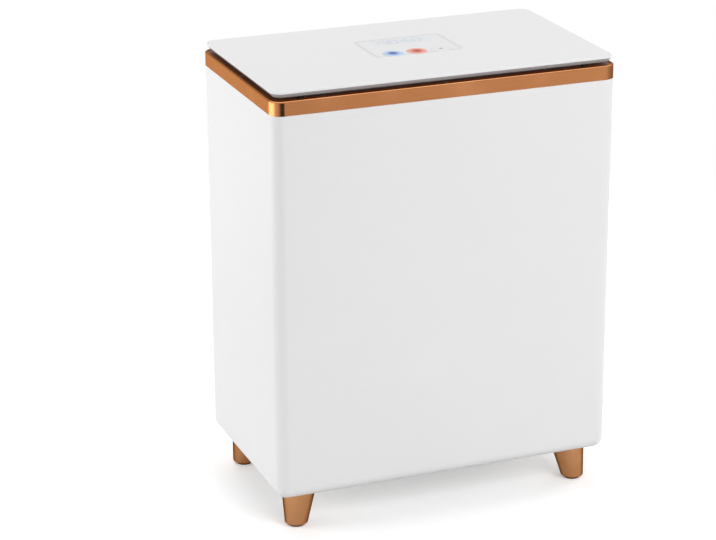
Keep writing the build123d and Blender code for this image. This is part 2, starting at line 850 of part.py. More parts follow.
def make_hinge_bracket(side):
    middle = side * hinge_x
    half = hinge_width / 2
    low = collar_low - bracket_drop
    bracket = block(middle - half, middle + half, leaf_front, leaf_back, low, collar_low)
    neck_high = lid_low - soft_gap
    outer_spans, _ = knuckle_spans()
    for start, end in outer_spans:
        x_low = middle + start
        x_high = middle + end
        bracket += block(x_low, x_high, leaf_front, leaf_back, collar_low - 1, neck_high)
        bracket += block(x_low, x_high, leaf_front, hinge_y, neck_high - leaf_wall, neck_high)
        bracket += rod_along_x(knuckle_r, x_low, x_high, hinge_y, hinge_z)
    bracket -= rod_along_x(pin_r, middle - half - 1, middle + half + 1, hinge_y, hinge_z)
    for step in (-1, 1):
        x = middle + step * leaf_screw_x
        bracket -= rod_along_y(screw_hole_r, leaf_front - 1, leaf_back + 1, x, bracket_screw_z)
    return bracket


def make_hinge_bracket_screws():
    screws = []
    for side in (-1, 1):
        for step in (-1, 1):
            x = side * hinge_x + step * leaf_screw_x
            head = rod_along_y(screw_head_r, leaf_front - screw_head, leaf_front, x, bracket_screw_z)
            shank_end = leaf_front + bracket_screw_length
            screws.append(head + rod_along_y(screw_r, leaf_front - joined, shank_end, x, bracket_screw_z))
    return group(screws)


def make_hinge_pins():
    reach = hinge_width / 2 + pin_reach
    middles = (-hinge_x, hinge_x)
    return group(rod_along_x(pin_r, x - reach, x + reach, hinge_y, hinge_z) for x in middles)


def make_hinge_leaf(side):
    middle = side * hinge_x
    half = hinge_width / 2
    _, (start, end) = knuckle_spans()
    front = lid_leaf_back - lid_leaf_depth
    high = lid_low - fit_gap
    leaf = block(middle - half, middle + half, front, lid_leaf_back, lid_leaf_low, high)
    leaf += block(middle + start, middle + end, lid_leaf_back - 1, hinge_y, lid_leaf_low, high)
    leaf += rod_along_x(knuckle_r, middle + start, middle + end, hinge_y, hinge_z)
    leaf -= rod_along_x(pin_r + running_gap, middle + start - 1, middle + end + 1, hinge_y, hinge_z)
    places = [(middle + step * leaf_screw_x, lid_leaf_centre) for step in (-1, 1)]
    return leaf - rods(screw_hole_r, lid_leaf_low - 1, high + 1, places)


def make_hinge_leaf_screws():
    return group(screw_up(x, y, lid_leaf_low, lid_screw_length) for x, y in leaf_screw_places)


# ---------------------------------------------------------------- lid
def make_lid_panel():
    low_outline = Pos(0, 0, lid_low) * RectangleRounded(
        lid_width - 2 * undercut_depth, lid_depth - 2 * undercut_depth, lid_corner_r - undercut_depth
    )
    edge_z = lid_low + undercut_height
    edge_outline = Pos(0, 0, edge_z) * RectangleRounded(lid_width, lid_depth, lid_corner_r)
    upper = fillet(top_edges(slab(lid_width, lid_depth, edge_z, lid_top, lid_corner_r)), lid_edge_r)
    lid = loft([low_outline, edge_outline], ruled=True) + upper
    pocket_x = lid_width - 2 * lid_skirt
    pocket_y = lid_depth - 2 * lid_skirt
    lid -= slab(pocket_x, pocket_y, lid_low - 1, skin_low, lid_corner_r - lid_skirt)
    lid += rods(lid_boss_r, liner_top + fit_gap, skin_low + 1, lid_screw_places + leaf_screw_places)
    lid += rods(control_post_r, control_top, skin_low + 1, control_hole_places)
    recess = 2 * panel_gap
    lid -= slab(
        panel_x + recess,
        panel_y + recess,
        lid_top - panel_wall,
        lid_top + 1,
        panel_corner_r + panel_gap,
        panel_centre_x,
        panel_centre_y,
    )
    lid -= slab(
        window_x - 2 * window_lap,
        window_y - 2 * window_lap,
        skin_low - 1,
        lid_top,
        window_hole_r,
        panel_centre_x,
        window_y_centre,
    )
    lid -= rods(key_hole_r, skin_low - 1, lid_top, [(x, key_y) for x in key_places.values()])
    screw_top = lid_low + lid_screw_length
    lid -= rods(screw_r + fit_gap, liner_top - 1, screw_top + fit_gap, lid_screw_places + leaf_screw_places)
    control_screw_top = control_low + control_screw_length + fit_gap
    lid -= rods(screw_r + fit_gap, control_top - 1, control_screw_top, control_hole_places)
    for side in (-1, 1):
        lid -= hinge_notch(side)
    return lid - cable_notch()


def hinge_notch(side):
    """Room for a hinge in the rear edge of the lid."""
    x = side * hinge_x
    back = lid_depth / 2 + 1
    return block(x - notch_half, x + notch_half, notch_front, back, lid_low - 1, notch_high)


def cable_notch():
    """Room for the cable that runs along the hinge line."""
    start = cable_x - cable_r - 2 * soft_gap
    end = hinge_x - notch_half + 1
    return block(start, end, notch_front, lid_depth / 2 + 1, lid_low - 1, notch_high)


def make_lid_liner():
    width = lid_width - 2 * (lid_skirt + liner_gap)
    depth = lid_depth - 2 * (lid_skirt + liner_gap)
    liner = slab(width, depth, lid_low, liner_top, lid_corner_r - lid_skirt - liner_gap)
    plug = slab(plug_width, plug_length, plug_low, liner_top, plug_corner_r)
    liner += fillet(bottom_edges(plug), plug_edge_r)
    hollow = slab(
        plug_width - 2 * liner_wall,
        plug_length - 2 * liner_wall,
        plug_low + liner_wall,
        liner_top + 1,
        plug_corner_r - liner_wall,
    )
    liner -= fillet(bottom_edges(hollow), plug_edge_r - liner_wall)
    liner -= rods(screw_hole_r, lid_low - 1, liner_top + 1, lid_screw_places + leaf_screw_places)
    for side in (-1, 1):
        liner -= hinge_notch(side)
    liner -= cable_notch()
    slot_half = cable_r + soft_gap
    slot_front = plug_length / 2 - liner_wall - 1
    turn_front = hinge_y - cable_bend_r - slot_half
    low = lid_low - 2
    high = liner_top + 1
    back = lid_depth / 2
    liner -= block(cable_turn_x - slot_half, cable_turn_x + slot_half, slot_front, back, low, high)
    liner -= block(cable_split_x, cable_turn_x + slot_half, turn_front, back, low, high)
    return liner


def make_lid_insulation():
    grow = 2 * (liner_wall + soft_gap)
    low = plug_low + liner_wall + rest_gap
    wool = slab(plug_width - grow, plug_length - grow, low, low + lid_wool_height, plug_corner_r - grow / 2)
    return chamfer(bottom_edges(wool), plug_edge_r - liner_wall)


def make_lid_gasket():
    grow = 2 * (gasket_inset + gasket_width)
    low = collar_top + soft_gap
    corner_r = bucket_corner_r + gasket_inset + gasket_width
    high = lid_low - fit_gap
    gasket = ring(bucket_width + grow, bucket_depth + grow, gasket_width, low, high, corner_r)
    slot_half = cable_r + soft_gap
    notch_low = hinge_z - hinge_lift - cable_r - soft_gap
    return gasket - block(
        cable_turn_x - slot_half, cable_turn_x + slot_half, 0, lid_depth / 2, notch_low, lid_low + 1
    )


def make_lid_bumpers():
    bumper_x = body_width / 2 - bumper_inset
    places = [(x * bumper_x, y * lid_rim) for x in (-1, 1) for y in (-1, 1)]
    return group(rods(bumper_r, collar_top + rest_gap, lid_low - fit_gap, places))


def make_lid_screws():
    return group(screw_up(x, y, lid_low, lid_screw_length) for x, y in lid_screw_places)


def make_lid_cable_upper():
    board_edge = panel_centre_x + control_board_x / 2 - cable_end_inset
    lead_z = lid_low + fit_gap
    points = [
        (cable_split_x + 2 * fit_gap, hinge_y, hinge_z),
        (cable_turn_x, hinge_y, hinge_z),
        (cable_turn_x, hinge_y - 2 * cable_bend_r - 2, lead_z),
        (cable_turn_x, panel_centre_y, lead_z),
        (board_edge, panel_centre_y, lead_z),
    ]
    return wire(points, cable_r, [cable_bend_r, lead_sweep_r, cable_bend_r])


# ---------------------------------------------------------------- control panel
def make_control_fascia():
    low = lid_top - panel_wall + fit_gap
    fascia = slab(panel_x, panel_y, low, lid_top, panel_corner_r, panel_centre_x, panel_centre_y)
    fascia -= rods(key_hole_r, low - 1, lid_top + 1, [(x, key_y) for x in key_places.values()])
    window = (window_x + 2 * window_gap, window_y + 2 * window_gap)
    return fascia - slab(
        *window, low - 1, lid_top + 1, window_corner_r + window_gap, panel_centre_x, window_y_centre
    )


def make_display_window():
    low = lid_top - panel_wall + fit_gap
    return slab(window_x, window_y, low, lid_top, window_corner_r, panel_centre_x, window_y_centre)


def make_display_module():
    x, y, z = module_size
    low = control_top + fit_gap
    return slab(x, y, low, low + z, module_corner_r, panel_centre_x, window_y_centre)


def make_control_board():
    board = slab(
        control_board_x,
        control_board_y,
        control_low,
        control_top - fit_gap,
        board_corner_r,
        panel_centre_x,
        panel_centre_y,
    )
    return board - rods(screw_hole_r, control_low - 1, control_top + 1, control_hole_places)


def make_control_board_screws():
    return group(screw_up(x, y, control_low, control_screw_length) for x, y in control_hole_places)


def make_tact_switches():
    switches = []
    for x in key_places.values():
        half = switch_side / 2
        case = block(x - half, x + half, key_y - half, key_y + half, control_top, control_top + switch_body)
        plunger = rod(plunger_r, control_top, control_top + switch_height, x, key_y)
        switches.append(case + plunger)
    return group(switches)


def make_button(x):
    flange_low = key_flange_top - key_flange_wall
    high = lid_top + key_proud
    cap = fillet(top_edges(rod(key_r, flange_low, high, x, key_y)), key_edge_r)
    button = cap + rod(key_r + key_flange, flange_low, key_flange_top, x, key_y)
    stem_low = control_top + switch_height + key_travel + fit_gap
    return button + rod(key_stem_r, stem_low, flange_low + joined, x, key_y)


# ---------------------------------------------------------------- all nodes
nodes = {
    "outer_shell": make_outer_shell(),
    "trim_band": make_trim_band(),
    "top_collar": make_top_collar(),
    "collar_screws": make_collar_screws(),
    "inner_bucket": make_inner_bucket(),
    "heater_side_mat": make_heater_side_mat(),
    "heater_base_mat": make_heater_base_mat(),
    "insulation_wrap": make_insulation_wrap(),
    "insulation_base": make_insulation_base(),
    "heat_shield": make_heat_shield(),
    "heat_shield_screws": make_heat_shield_screws(),
    "thermostat": make_thermostat(),
    "thermal_fuse": make_thermal_fuse(),
    "temperature_probe": make_temperature_probe(),
    "base_cover": make_base_cover(),
    "base_cover_screws": make_base_cover_screws(),
    "power_board": make_power_board(),
    "power_board_screws": make_power_board_screws(),
    "transformer": make_transformer(),
    "relay": make_relay(),
    "terminal_block": make_terminal_block(),
    "heater_leads": make_heater_leads(),
    "sensor_leads": make_sensor_leads(),
    "lid_cable_lower": make_lid_cable_lower(),
    "cord_gland": make_cord_gland(),
    "cord_gland_nut": make_cord_gland_nut(),
    "leg_studs": make_leg_studs(),
    "leg_plates": make_leg_plates(),
    "leg_nuts": make_leg_nuts(),
    "leg_pads": make_leg_pads(),
    "hinge_bracket_left": make_hinge_bracket(-1),
    "hinge_bracket_right": make_hinge_bracket(1),
    "hinge_bracket_screws": make_hinge_bracket_screws(),
    "hinge_pins": make_hinge_pins(),
    "hinge_leaf_left": make_hinge_leaf(-1),
    "hinge_leaf_right": make_hinge_leaf(1),
    "hinge_leaf_screws": make_hinge_leaf_screws(),
    "lid_panel": make_lid_panel(),
    "lid_liner": make_lid_liner(),
    "lid_insulation": make_lid_insulation(),
    "lid_gasket": make_lid_gasket(),
    "lid_bumpers": make_lid_bumpers(),
    "lid_screws": make_lid_screws(),
    "lid_cable_upper": make_lid_cable_upper(),
    "control_fascia": make_control_fascia(),
    "display_window": make_display_window(),
    "display_module": make_display_module(),
    "control_board": make_control_board(),
    "control_board_screws": make_control_board_screws(),
    "tact_switches": make_tact_switches(),
}
for name, place in leg_places.items():
    nodes[f"leg_{name}"] = make_leg(*place)
for name, x in key_places.items():
    nodes[name] = make_button(x)
for name, part in nodes.items():
    save(name, part)
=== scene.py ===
"""Looks of a towel warmer bucket: its finishes, printed marks, screws and foot pads, and its studio."""

from __future__ import annotations

import json
import logging
import math
from dataclasses import dataclass, field
from enum import Enum
from typing import Callable, Iterable, Mapping, Sequence, Union

import bmesh
import bpy
from mathutils import Matrix, Vector

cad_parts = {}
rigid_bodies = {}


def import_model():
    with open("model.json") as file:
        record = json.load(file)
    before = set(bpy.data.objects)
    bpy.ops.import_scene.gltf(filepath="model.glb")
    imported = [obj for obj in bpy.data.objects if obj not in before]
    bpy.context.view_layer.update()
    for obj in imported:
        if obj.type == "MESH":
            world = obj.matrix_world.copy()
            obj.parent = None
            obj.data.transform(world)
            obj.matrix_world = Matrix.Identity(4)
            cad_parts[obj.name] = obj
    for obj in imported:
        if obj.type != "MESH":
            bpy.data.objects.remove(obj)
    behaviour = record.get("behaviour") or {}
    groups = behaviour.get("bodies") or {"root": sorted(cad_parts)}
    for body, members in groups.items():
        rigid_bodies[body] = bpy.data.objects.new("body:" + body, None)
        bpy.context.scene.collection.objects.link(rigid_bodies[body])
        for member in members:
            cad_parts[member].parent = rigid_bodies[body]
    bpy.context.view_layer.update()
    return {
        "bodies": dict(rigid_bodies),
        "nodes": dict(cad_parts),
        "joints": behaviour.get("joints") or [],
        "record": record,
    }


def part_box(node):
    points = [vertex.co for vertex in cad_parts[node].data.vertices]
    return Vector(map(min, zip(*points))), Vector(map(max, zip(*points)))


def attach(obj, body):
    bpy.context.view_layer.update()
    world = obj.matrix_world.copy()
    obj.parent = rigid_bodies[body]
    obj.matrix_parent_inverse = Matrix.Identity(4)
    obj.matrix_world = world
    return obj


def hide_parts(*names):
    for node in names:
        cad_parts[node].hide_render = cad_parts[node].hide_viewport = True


LOG = logging.getLogger("towel_warmer")
MM = 0.001
Colour = tuple[float, float, float, float]
Numbers = tuple[float, float, float]
Sockets = Mapping[Union[str, int], object]

# Corners closer together than this are one corner.
WELD = 0.001 * MM
# A face is level when at least this share of its normal points up or down.
LEVEL = 0.99
# Corners of a four-sided face.
QUAD = 4

# The Mix node has a set of sockets for each kind of data, under the same names, so they go by number.
MIX_NUMBERS = (2, 3)
MIX_COLOURS = (6, 7)
MIXED_NUMBER = 0
MIXED_COLOUR = 2

# How many finer layers of noise each texture has.
DRIFT_DETAIL = 1.0
GRAIN_DETAIL = 3.0
LINE_DETAIL = 4.0
FIBRE_DETAIL = 6.0


# ---------------------------------------------------------------- names
class Body(str, Enum):
    """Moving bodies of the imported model."""

    HOUSING = "housing"
    LID = "lid"
    BLUE_KEY = "blue_button"
    RED_KEY = "red_button"
    WHITE_KEY = "white_button"


class Slot(str, Enum):
    """Material slots of the record that the finishes stand for."""

    WHITE_SHELL = "white_shell"
    WHITE_INNER = "white_inner"
    COPPER_TRIM = "copper_trim"
    COPPER_LEG = "copper_leg"
    BLACK_PLASTIC = "black_plastic"
    BRONZE_PLASTIC = "bronze_plastic"
    BUCKET_METAL = "bucket_metal"
    HEATER_RUBBER = "heater_rubber"
    WOOL = "wool"
    STEEL = "steel"
    BOARD = "board"
    COIL = "coil"
    DARK_CASE = "dark_case"
    TERMINAL = "terminal"
    LEAD = "lead"
    BLACK_LEAD = "black_lead"
    SOFT_BLACK = "soft_black"
    SOFT_GREY = "soft_grey"
    FASCIA = "fascia"
    WINDOW = "window"
    KEY_BLUE = "key_blue"
    KEY_RED = "key_red"
    KEY_WHITE = "key_white"


class Axis(Enum):
    """Direction in which the lines of a brushed or drawn surface run."""

    ROUND = "round"
    UP = "up"


# ---------------------------------------------------------------- colours and nodes
def linear(colour: str) -> Colour:
    """Turns an sRGB hex colour into linear light.

    Args:
        colour: A hash and six hex digits.

    Returns:
        Red, green and blue as a shader takes them, and an alpha of 1.
    """
    channels = (int(colour[start : start + 2], 16) / 255 for start in (1, 3, 5))
    red, green, blue = (c / 12.92 if c <= 0.04045 else ((c + 0.055) / 1.055) ** 2.4 for c in channels)
    return red, green, blue, 1.0


def add_node(
    tree: bpy.types.NodeTree,
    kind: str,
    inputs: Union[Sockets, None] = None,
    **settings: object,
) -> bpy.types.Node:
    """Adds a shader node with its settings, values and links.

    Args:
        tree: The node tree that gets the node.
        kind: Blender's name for the kind of node.
        inputs: For each input socket, by name or number, a value or the output socket that feeds it.
        **settings: Properties of the node itself.

    Returns:
        The new node.
    """
    node = tree.nodes.new(kind)
    for name, value in settings.items():
        setattr(node, name, value)
    for socket, value in (inputs or {}).items():
        if isinstance(value, bpy.types.NodeSocket):
            tree.links.new(value, node.inputs[socket])
        else:
            node.inputs[socket].default_value = value
    return node


def per_metre(size_mm: Numbers) -> Numbers:
    """Returns how often a pattern of that size in millimetres repeats in a metre, along each axis."""
    x, y, z = size_mm
    return 1 / (x * MM), 1 / (y * MM), 1 / (z * MM)


def wave_scale(pitch_mm: float) -> float:
    """Returns the scale at which a wave texture repeats at that pitch, given in millimetres."""
    # A wave texture repeats every 2 pi / 20 of its scaled coordinate.
    return 2 * math.pi / 20 / (pitch_mm * MM)


# ---------------------------------------------------------------- finishes
@dataclass(frozen=True)
class Finish:
    """A finish with an even grain, and what every other finish starts from.

    The grain is the fine texture that the surface was made with, and it moves the roughness and the relief.
    The polish is the roughness at the bottom and at the top of the grain, and the relief is its height.
    The drift is the slow change of tone over a large piece. Sizes are in millimetres. A spark-eroded, brushed
    or matt moulded grain is finer than 0.2 mm, too fine to show, so it is drawn a few times coarser.
    """

    name: str
    colour: str
    shade: str
    polish: tuple[float, float]
    grain: float = 1.0
    drift: float = 60.0
    relief: float = 0.01
    metallic: float = 0.0
    ior: float = 1.5

    def texture(self, tree: bpy.types.NodeTree, place: bpy.types.NodeSocket) -> bpy.types.NodeSocket:
        """Builds the grain of the surface.

        Args:
            tree: The material's node tree.
            place: Object coordinates, in metres.

        Returns:
            The height of the grain, from 0 to 1.
        """
        noise = {"Vector": place, "Scale": 1 / (self.grain * MM), "Detail": GRAIN_DETAIL}
        return add_node(tree, "ShaderNodeTexNoise", noise).outputs["Fac"]

    def tone(
        self, tree: bpy.types.NodeTree, place: bpy.types.NodeSocket, grain: bpy.types.NodeSocket
    ) -> bpy.types.NodeSocket:
        """Builds the share of the main colour, against the shade.

        Args:
            tree: The material's node tree.
            place: Object coordinates, in metres.
            grain: The height of the grain.

        Returns:
            The share, from 0 to 1.
        """
        drift = {"Vector": place, "Scale": 1 / (self.drift * MM), "Detail": DRIFT_DETAIL}
        slow = add_node(tree, "ShaderNodeTexNoise", drift).outputs["Fac"]
        return add_node(tree, "ShaderNodeMath", {0: slow, 1: grain}, operation="MAXIMUM").outputs[0]

    def gloss(self, tree: bpy.types.NodeTree, shader: bpy.types.Node) -> None:
        """Sets what only this kind of finish has on its shader. The plain one has nothing more."""

    def make(self) -> bpy.types.Material:
        """Builds the material.

        Returns:
            A node material that reads Object coordinates.
        """
        material = bpy.data.materials.new(self.name)
        material.use_nodes = True
        tree = material.node_tree
        shader = tree.nodes["Principled BSDF"]
        shader.inputs["Metallic"].default_value = self.metallic
        shader.inputs["IOR"].default_value = self.ior
        place = add_node(tree, "ShaderNodeTexCoord").outputs["Object"]
        grain = self.texture(tree, place)
        share = self.tone(tree, place, grain)
        dark, light = MIX_COLOURS
        colours = {"Factor": share, dark: linear(self.shade), light: linear(self.colour)}
        colour = add_node(tree, "ShaderNodeMix", colours, data_type="RGBA")
        smooth, rough = self.polish
        polish = add_node(tree, "ShaderNodeMapRange", {"Value": grain, "To Min": smooth, "To Max": rough})
        height = {"Height": grain, "Strength": 1.0, "Distance": self.relief * MM}
        bump = add_node(tree, "ShaderNodeBump", height)
        tree.links.new(colour.outputs[MIXED_COLOUR], shader.inputs["Base Color"])
        tree.links.new(polish.outputs["Result"], shader.inputs["Roughness"])
        tree.links.new(bump.outputs["Normal"], shader.inputs["Normal"])
        self.gloss(tree, shader)
        return material


@dataclass(frozen=True)
class BrushedMetal(Finish):
    """Metal brushed or drawn in one direction, so highlights stretch across its lines.

    Its glance is the colour that the metal turns to where the eye meets it at a low angle.
    """

    lines: Axis = Axis.ROUND
    line_width: float = 0.5
    line_length: float = 70.0
    anisotropy: float = 0.5
    metallic: float = 1.0
    glance: str = "#FFFFFF"

    def texture(self, tree: bpy.types.NodeTree, place: bpy.types.NodeSocket) -> bpy.types.NodeSocket:
        """Builds the brushed lines, thin across and long along their direction.

        Args:
            tree: The material's node tree.
            place: Object coordinates, in metres.

        Returns:
            The height of the lines, from 0 to 1.
        """
        across, along = self.line_width, self.line_length
        size = (along, along, across) if self.lines is Axis.ROUND else (across, across, along)
        scaled = add_node(tree, "ShaderNodeMapping", {"Vector": place, "Scale": per_metre(size)})
        noise = {"Vector": scaled.outputs["Vector"], "Scale": 1.0, "Detail": LINE_DETAIL}
        return add_node(tree, "ShaderNodeTexNoise", noise).outputs["Fac"]

    def gloss(self, tree: bpy.types.NodeTree, shader: bpy.types.Node) -> None:
        """Stretches the highlight across the lines, and sets the colour of the metal at a low angle.

        Args:
            tree: The material's node tree.
            shader: Its shader.
        """
        tangent = add_node(tree, "ShaderNodeTangent", direction_type="RADIAL", axis="Z")
        quarter = 0.25
        turn = 0.0 if self.lines is Axis.ROUND else quarter
        shader.inputs["Anisotropic"].default_value = self.anisotropy
        shader.inputs["Anisotropic Rotation"].default_value = turn
        shader.inputs["Specular Tint"].default_value = linear(self.glance)
        tree.links.new(tangent.outputs["Tangent"], shader.inputs["Tangent"])


@dataclass(frozen=True)
class ClearCoated(Finish):
    """A finish under a thin clear lacquer, which adds a sharp second highlight."""

    coat: float = 0.06
    coat_roughness: float = 0.1

    def gloss(self, tree: bpy.types.NodeTree, shader: bpy.types.Node) -> None:
        """Lays the lacquer over the colour."""
        shader.inputs["Coat Weight"].default_value = self.coat
        shader.inputs["Coat Roughness"].default_value = self.coat_roughness


@dataclass(frozen=True)
class PaintedShadeUnderRim(ClearCoated):
    """Painted shade: the white turns to the darker shade where a face turns under, as in a shadow.

    The painted shade's limits are the upward part of a face's normal.
    """

    shade_full_below: float = -0.5
    shade_none_above: float = -0.1

    def tone(
        self, tree: bpy.types.NodeTree, place: bpy.types.NodeSocket, grain: bpy.types.NodeSocket
    ) -> bpy.types.NodeSocket:
        """Builds the painted shade from how far a face turns up or down.

        Args:
            tree: The material's node tree.
            place: Object coordinates, in metres, which this finish leaves out of its colour.
            grain: The height of the grain, which it leaves out too.

        Returns:
            0 where the painted shade is full and 1 where the white is untouched.
        """
        facing = add_node(tree, "ShaderNodeTexCoord").outputs["Normal"]
        rise = add_node(tree, "ShaderNodeSeparateXYZ", {0: facing}).outputs["Z"]
        cover = {"Value": rise, "From Min": self.shade_full_below, "From Max": self.shade_none_above}
        return add_node(tree, "ShaderNodeMapRange", cover, interpolation_type="SMOOTHSTEP").outputs["Result"]


@dataclass(frozen=True)
class ClothPressed(Finish):
    """Rubber cured between glass cloth, which leaves the cloth's threads in both faces."""

    thread: float = 1.2

    def texture(self, tree: bpy.types.NodeTree, place: bpy.types.NodeSocket) -> bpy.types.NodeSocket:
        """Builds the two sets of threads that cross.

        Args:
            tree: The material's node tree.
            place: Object coordinates, in metres.

        Returns:
            The height of the threads, from 0 to 1.
        """
        flat = {"Vector": place, "Scale": wave_scale(self.thread)}
        warp = add_node(tree, "ShaderNodeTexWave", flat, bands_direction="DIAGONAL").outputs["Fac"]
        weft = add_node(tree, "ShaderNodeTexWave", flat, bands_direction="Z").outputs["Fac"]
        return add_node(tree, "ShaderNodeMath", {0: warp, 1: weft}, operation="MULTIPLY").outputs[0]


@dataclass(frozen=True)
class Needled(Finish):
    """Glass wool needled into a blanket: short bent fibres over soft hollows.

    One fibre is too fine to show, so each is drawn as thick as a tuft.
    """

    fibre: float = 0.6
    bend: float = 2.5

    def texture(self, tree: bpy.types.NodeTree, place: bpy.types.NodeSocket) -> bpy.types.NodeSocket:
        """Builds the tangle of fibres.

        Args:
            tree: The material's node tree.
            place: Object coordinates, in metres.

        Returns:
            The height of the fibres, from 0 to 1.
        """
        scale = 1 / (self.fibre * MM)
        tangle = {"Vector": place, "Scale": scale, "Detail": FIBRE_DETAIL, "Distortion": self.bend}
        return add_node(tree, "ShaderNodeTexNoise", tangle).outputs["Fac"]


@dataclass(frozen=True)
class SolderMask(Finish):
    """Circuit board under its mask, with the copper tracks showing as paler lines.

    The track's edge runs between two distances from the middle of the gap, as shares of the pitch.
    """

    track_pitch: float = 5.0
    track_edge: tuple[float, float] = (0.05, 0.09)
    scatter: float = 0.8

    def texture(self, tree: bpy.types.NodeTree, place: bpy.types.NodeSocket) -> bpy.types.NodeSocket:
        """Builds the raised tracks.

        Args:
            tree: The material's node tree.
            place: Object coordinates, in metres.

        Returns:
            The height of the tracks, from 0 to 1.
        """
        cells = {"Vector": place, "Scale": 1 / (self.track_pitch * MM), "Randomness": self.scatter}
        edges = add_node(tree, "ShaderNodeTexVoronoi", cells, feature="DISTANCE_TO_EDGE")
        low, high = self.track_edge
        step = {"Value": edges.outputs["Distance"], "From Min": low, "From Max": high}
        return add_node(tree, "ShaderNodeMapRange", step).outputs["Result"]

    def tone(
        self, tree: bpy.types.NodeTree, place: bpy.types.NodeSocket, grain: bpy.types.NodeSocket
    ) -> bpy.types.NodeSocket:
        """Returns the tracks themselves, which are paler than the ground."""
        return grain


@dataclass(frozen=True)
class Wound(Finish):
    """Turns of tape or wire, or laminations, stacked in layers up the piece."""

    layer: float = 1.0
    waver: float = 0.4

    def texture(self, tree: bpy.types.NodeTree, place: bpy.types.NodeSocket) -> bpy.types.NodeSocket:
        """Builds the layers.

        Args:
            tree: The material's node tree.
            place: Object coordinates, in metres.

        Returns:
            The height of the layers, from 0 to 1.
        """
        layers = {"Vector": place, "Scale": wave_scale(self.layer), "Distortion": self.waver}
        return add_node(tree, "ShaderNodeTexWave", layers, bands_direction="Z").outputs["Fac"]


@dataclass(frozen=True)
class KeyCap(ClearCoated):
    """Moulded key whose rim is paler than its middle, because its edge is thin and lets light through.

    The centre is in metres. The rim's start and its full tone are radii in millimetres.
    """

    centre: Numbers = (0.0, 0.0, 0.0)
    rim_start: float = 2.0
    rim_full: float = 9.5

    def tone(
        self, tree: bpy.types.NodeTree, place: bpy.types.NodeSocket, grain: bpy.types.NodeSocket
    ) -> bpy.types.NodeSocket:
        """Builds the step from the middle of the key to its rim.

        Args:
            tree: The material's node tree.
            place: Object coordinates, in metres.
            grain: The height of the grain, which this finish leaves out of its colour.

        Returns:
            0 in the middle and 1 at the rim.
        """
        x, y, _ = self.centre
        flattened = {"Vector": place, "Location": (-x, -y, 0.0), "Scale": (1, 1, 0)}
        centred = add_node(tree, "ShaderNodeMapping", flattened).outputs["Vector"]
        radius = add_node(tree, "ShaderNodeVectorMath", {0: centred}, operation="LENGTH").outputs["Value"]
        step = {"Value": radius, "From Min": self.rim_start * MM, "From Max": self.rim_full * MM}
        return add_node(tree, "ShaderNodeMapRange", step, interpolation_type="SMOOTHSTEP").outputs["Result"]


# The lid's shell is gloss white ABS with painted shade: its rim turns grey where it turns under.
LID_FINISH_WITH_PAINTED_SHADE = PaintedShadeUnderRim(
    "gloss_white_abs_painted_shade_under_rim", "#E9E9E9", "#ABABAD", polish=(0.4, 0.46),
    grain=2.2, relief=0.003, ior=1.54, coat=0.04, coat_roughness=0.1,
)


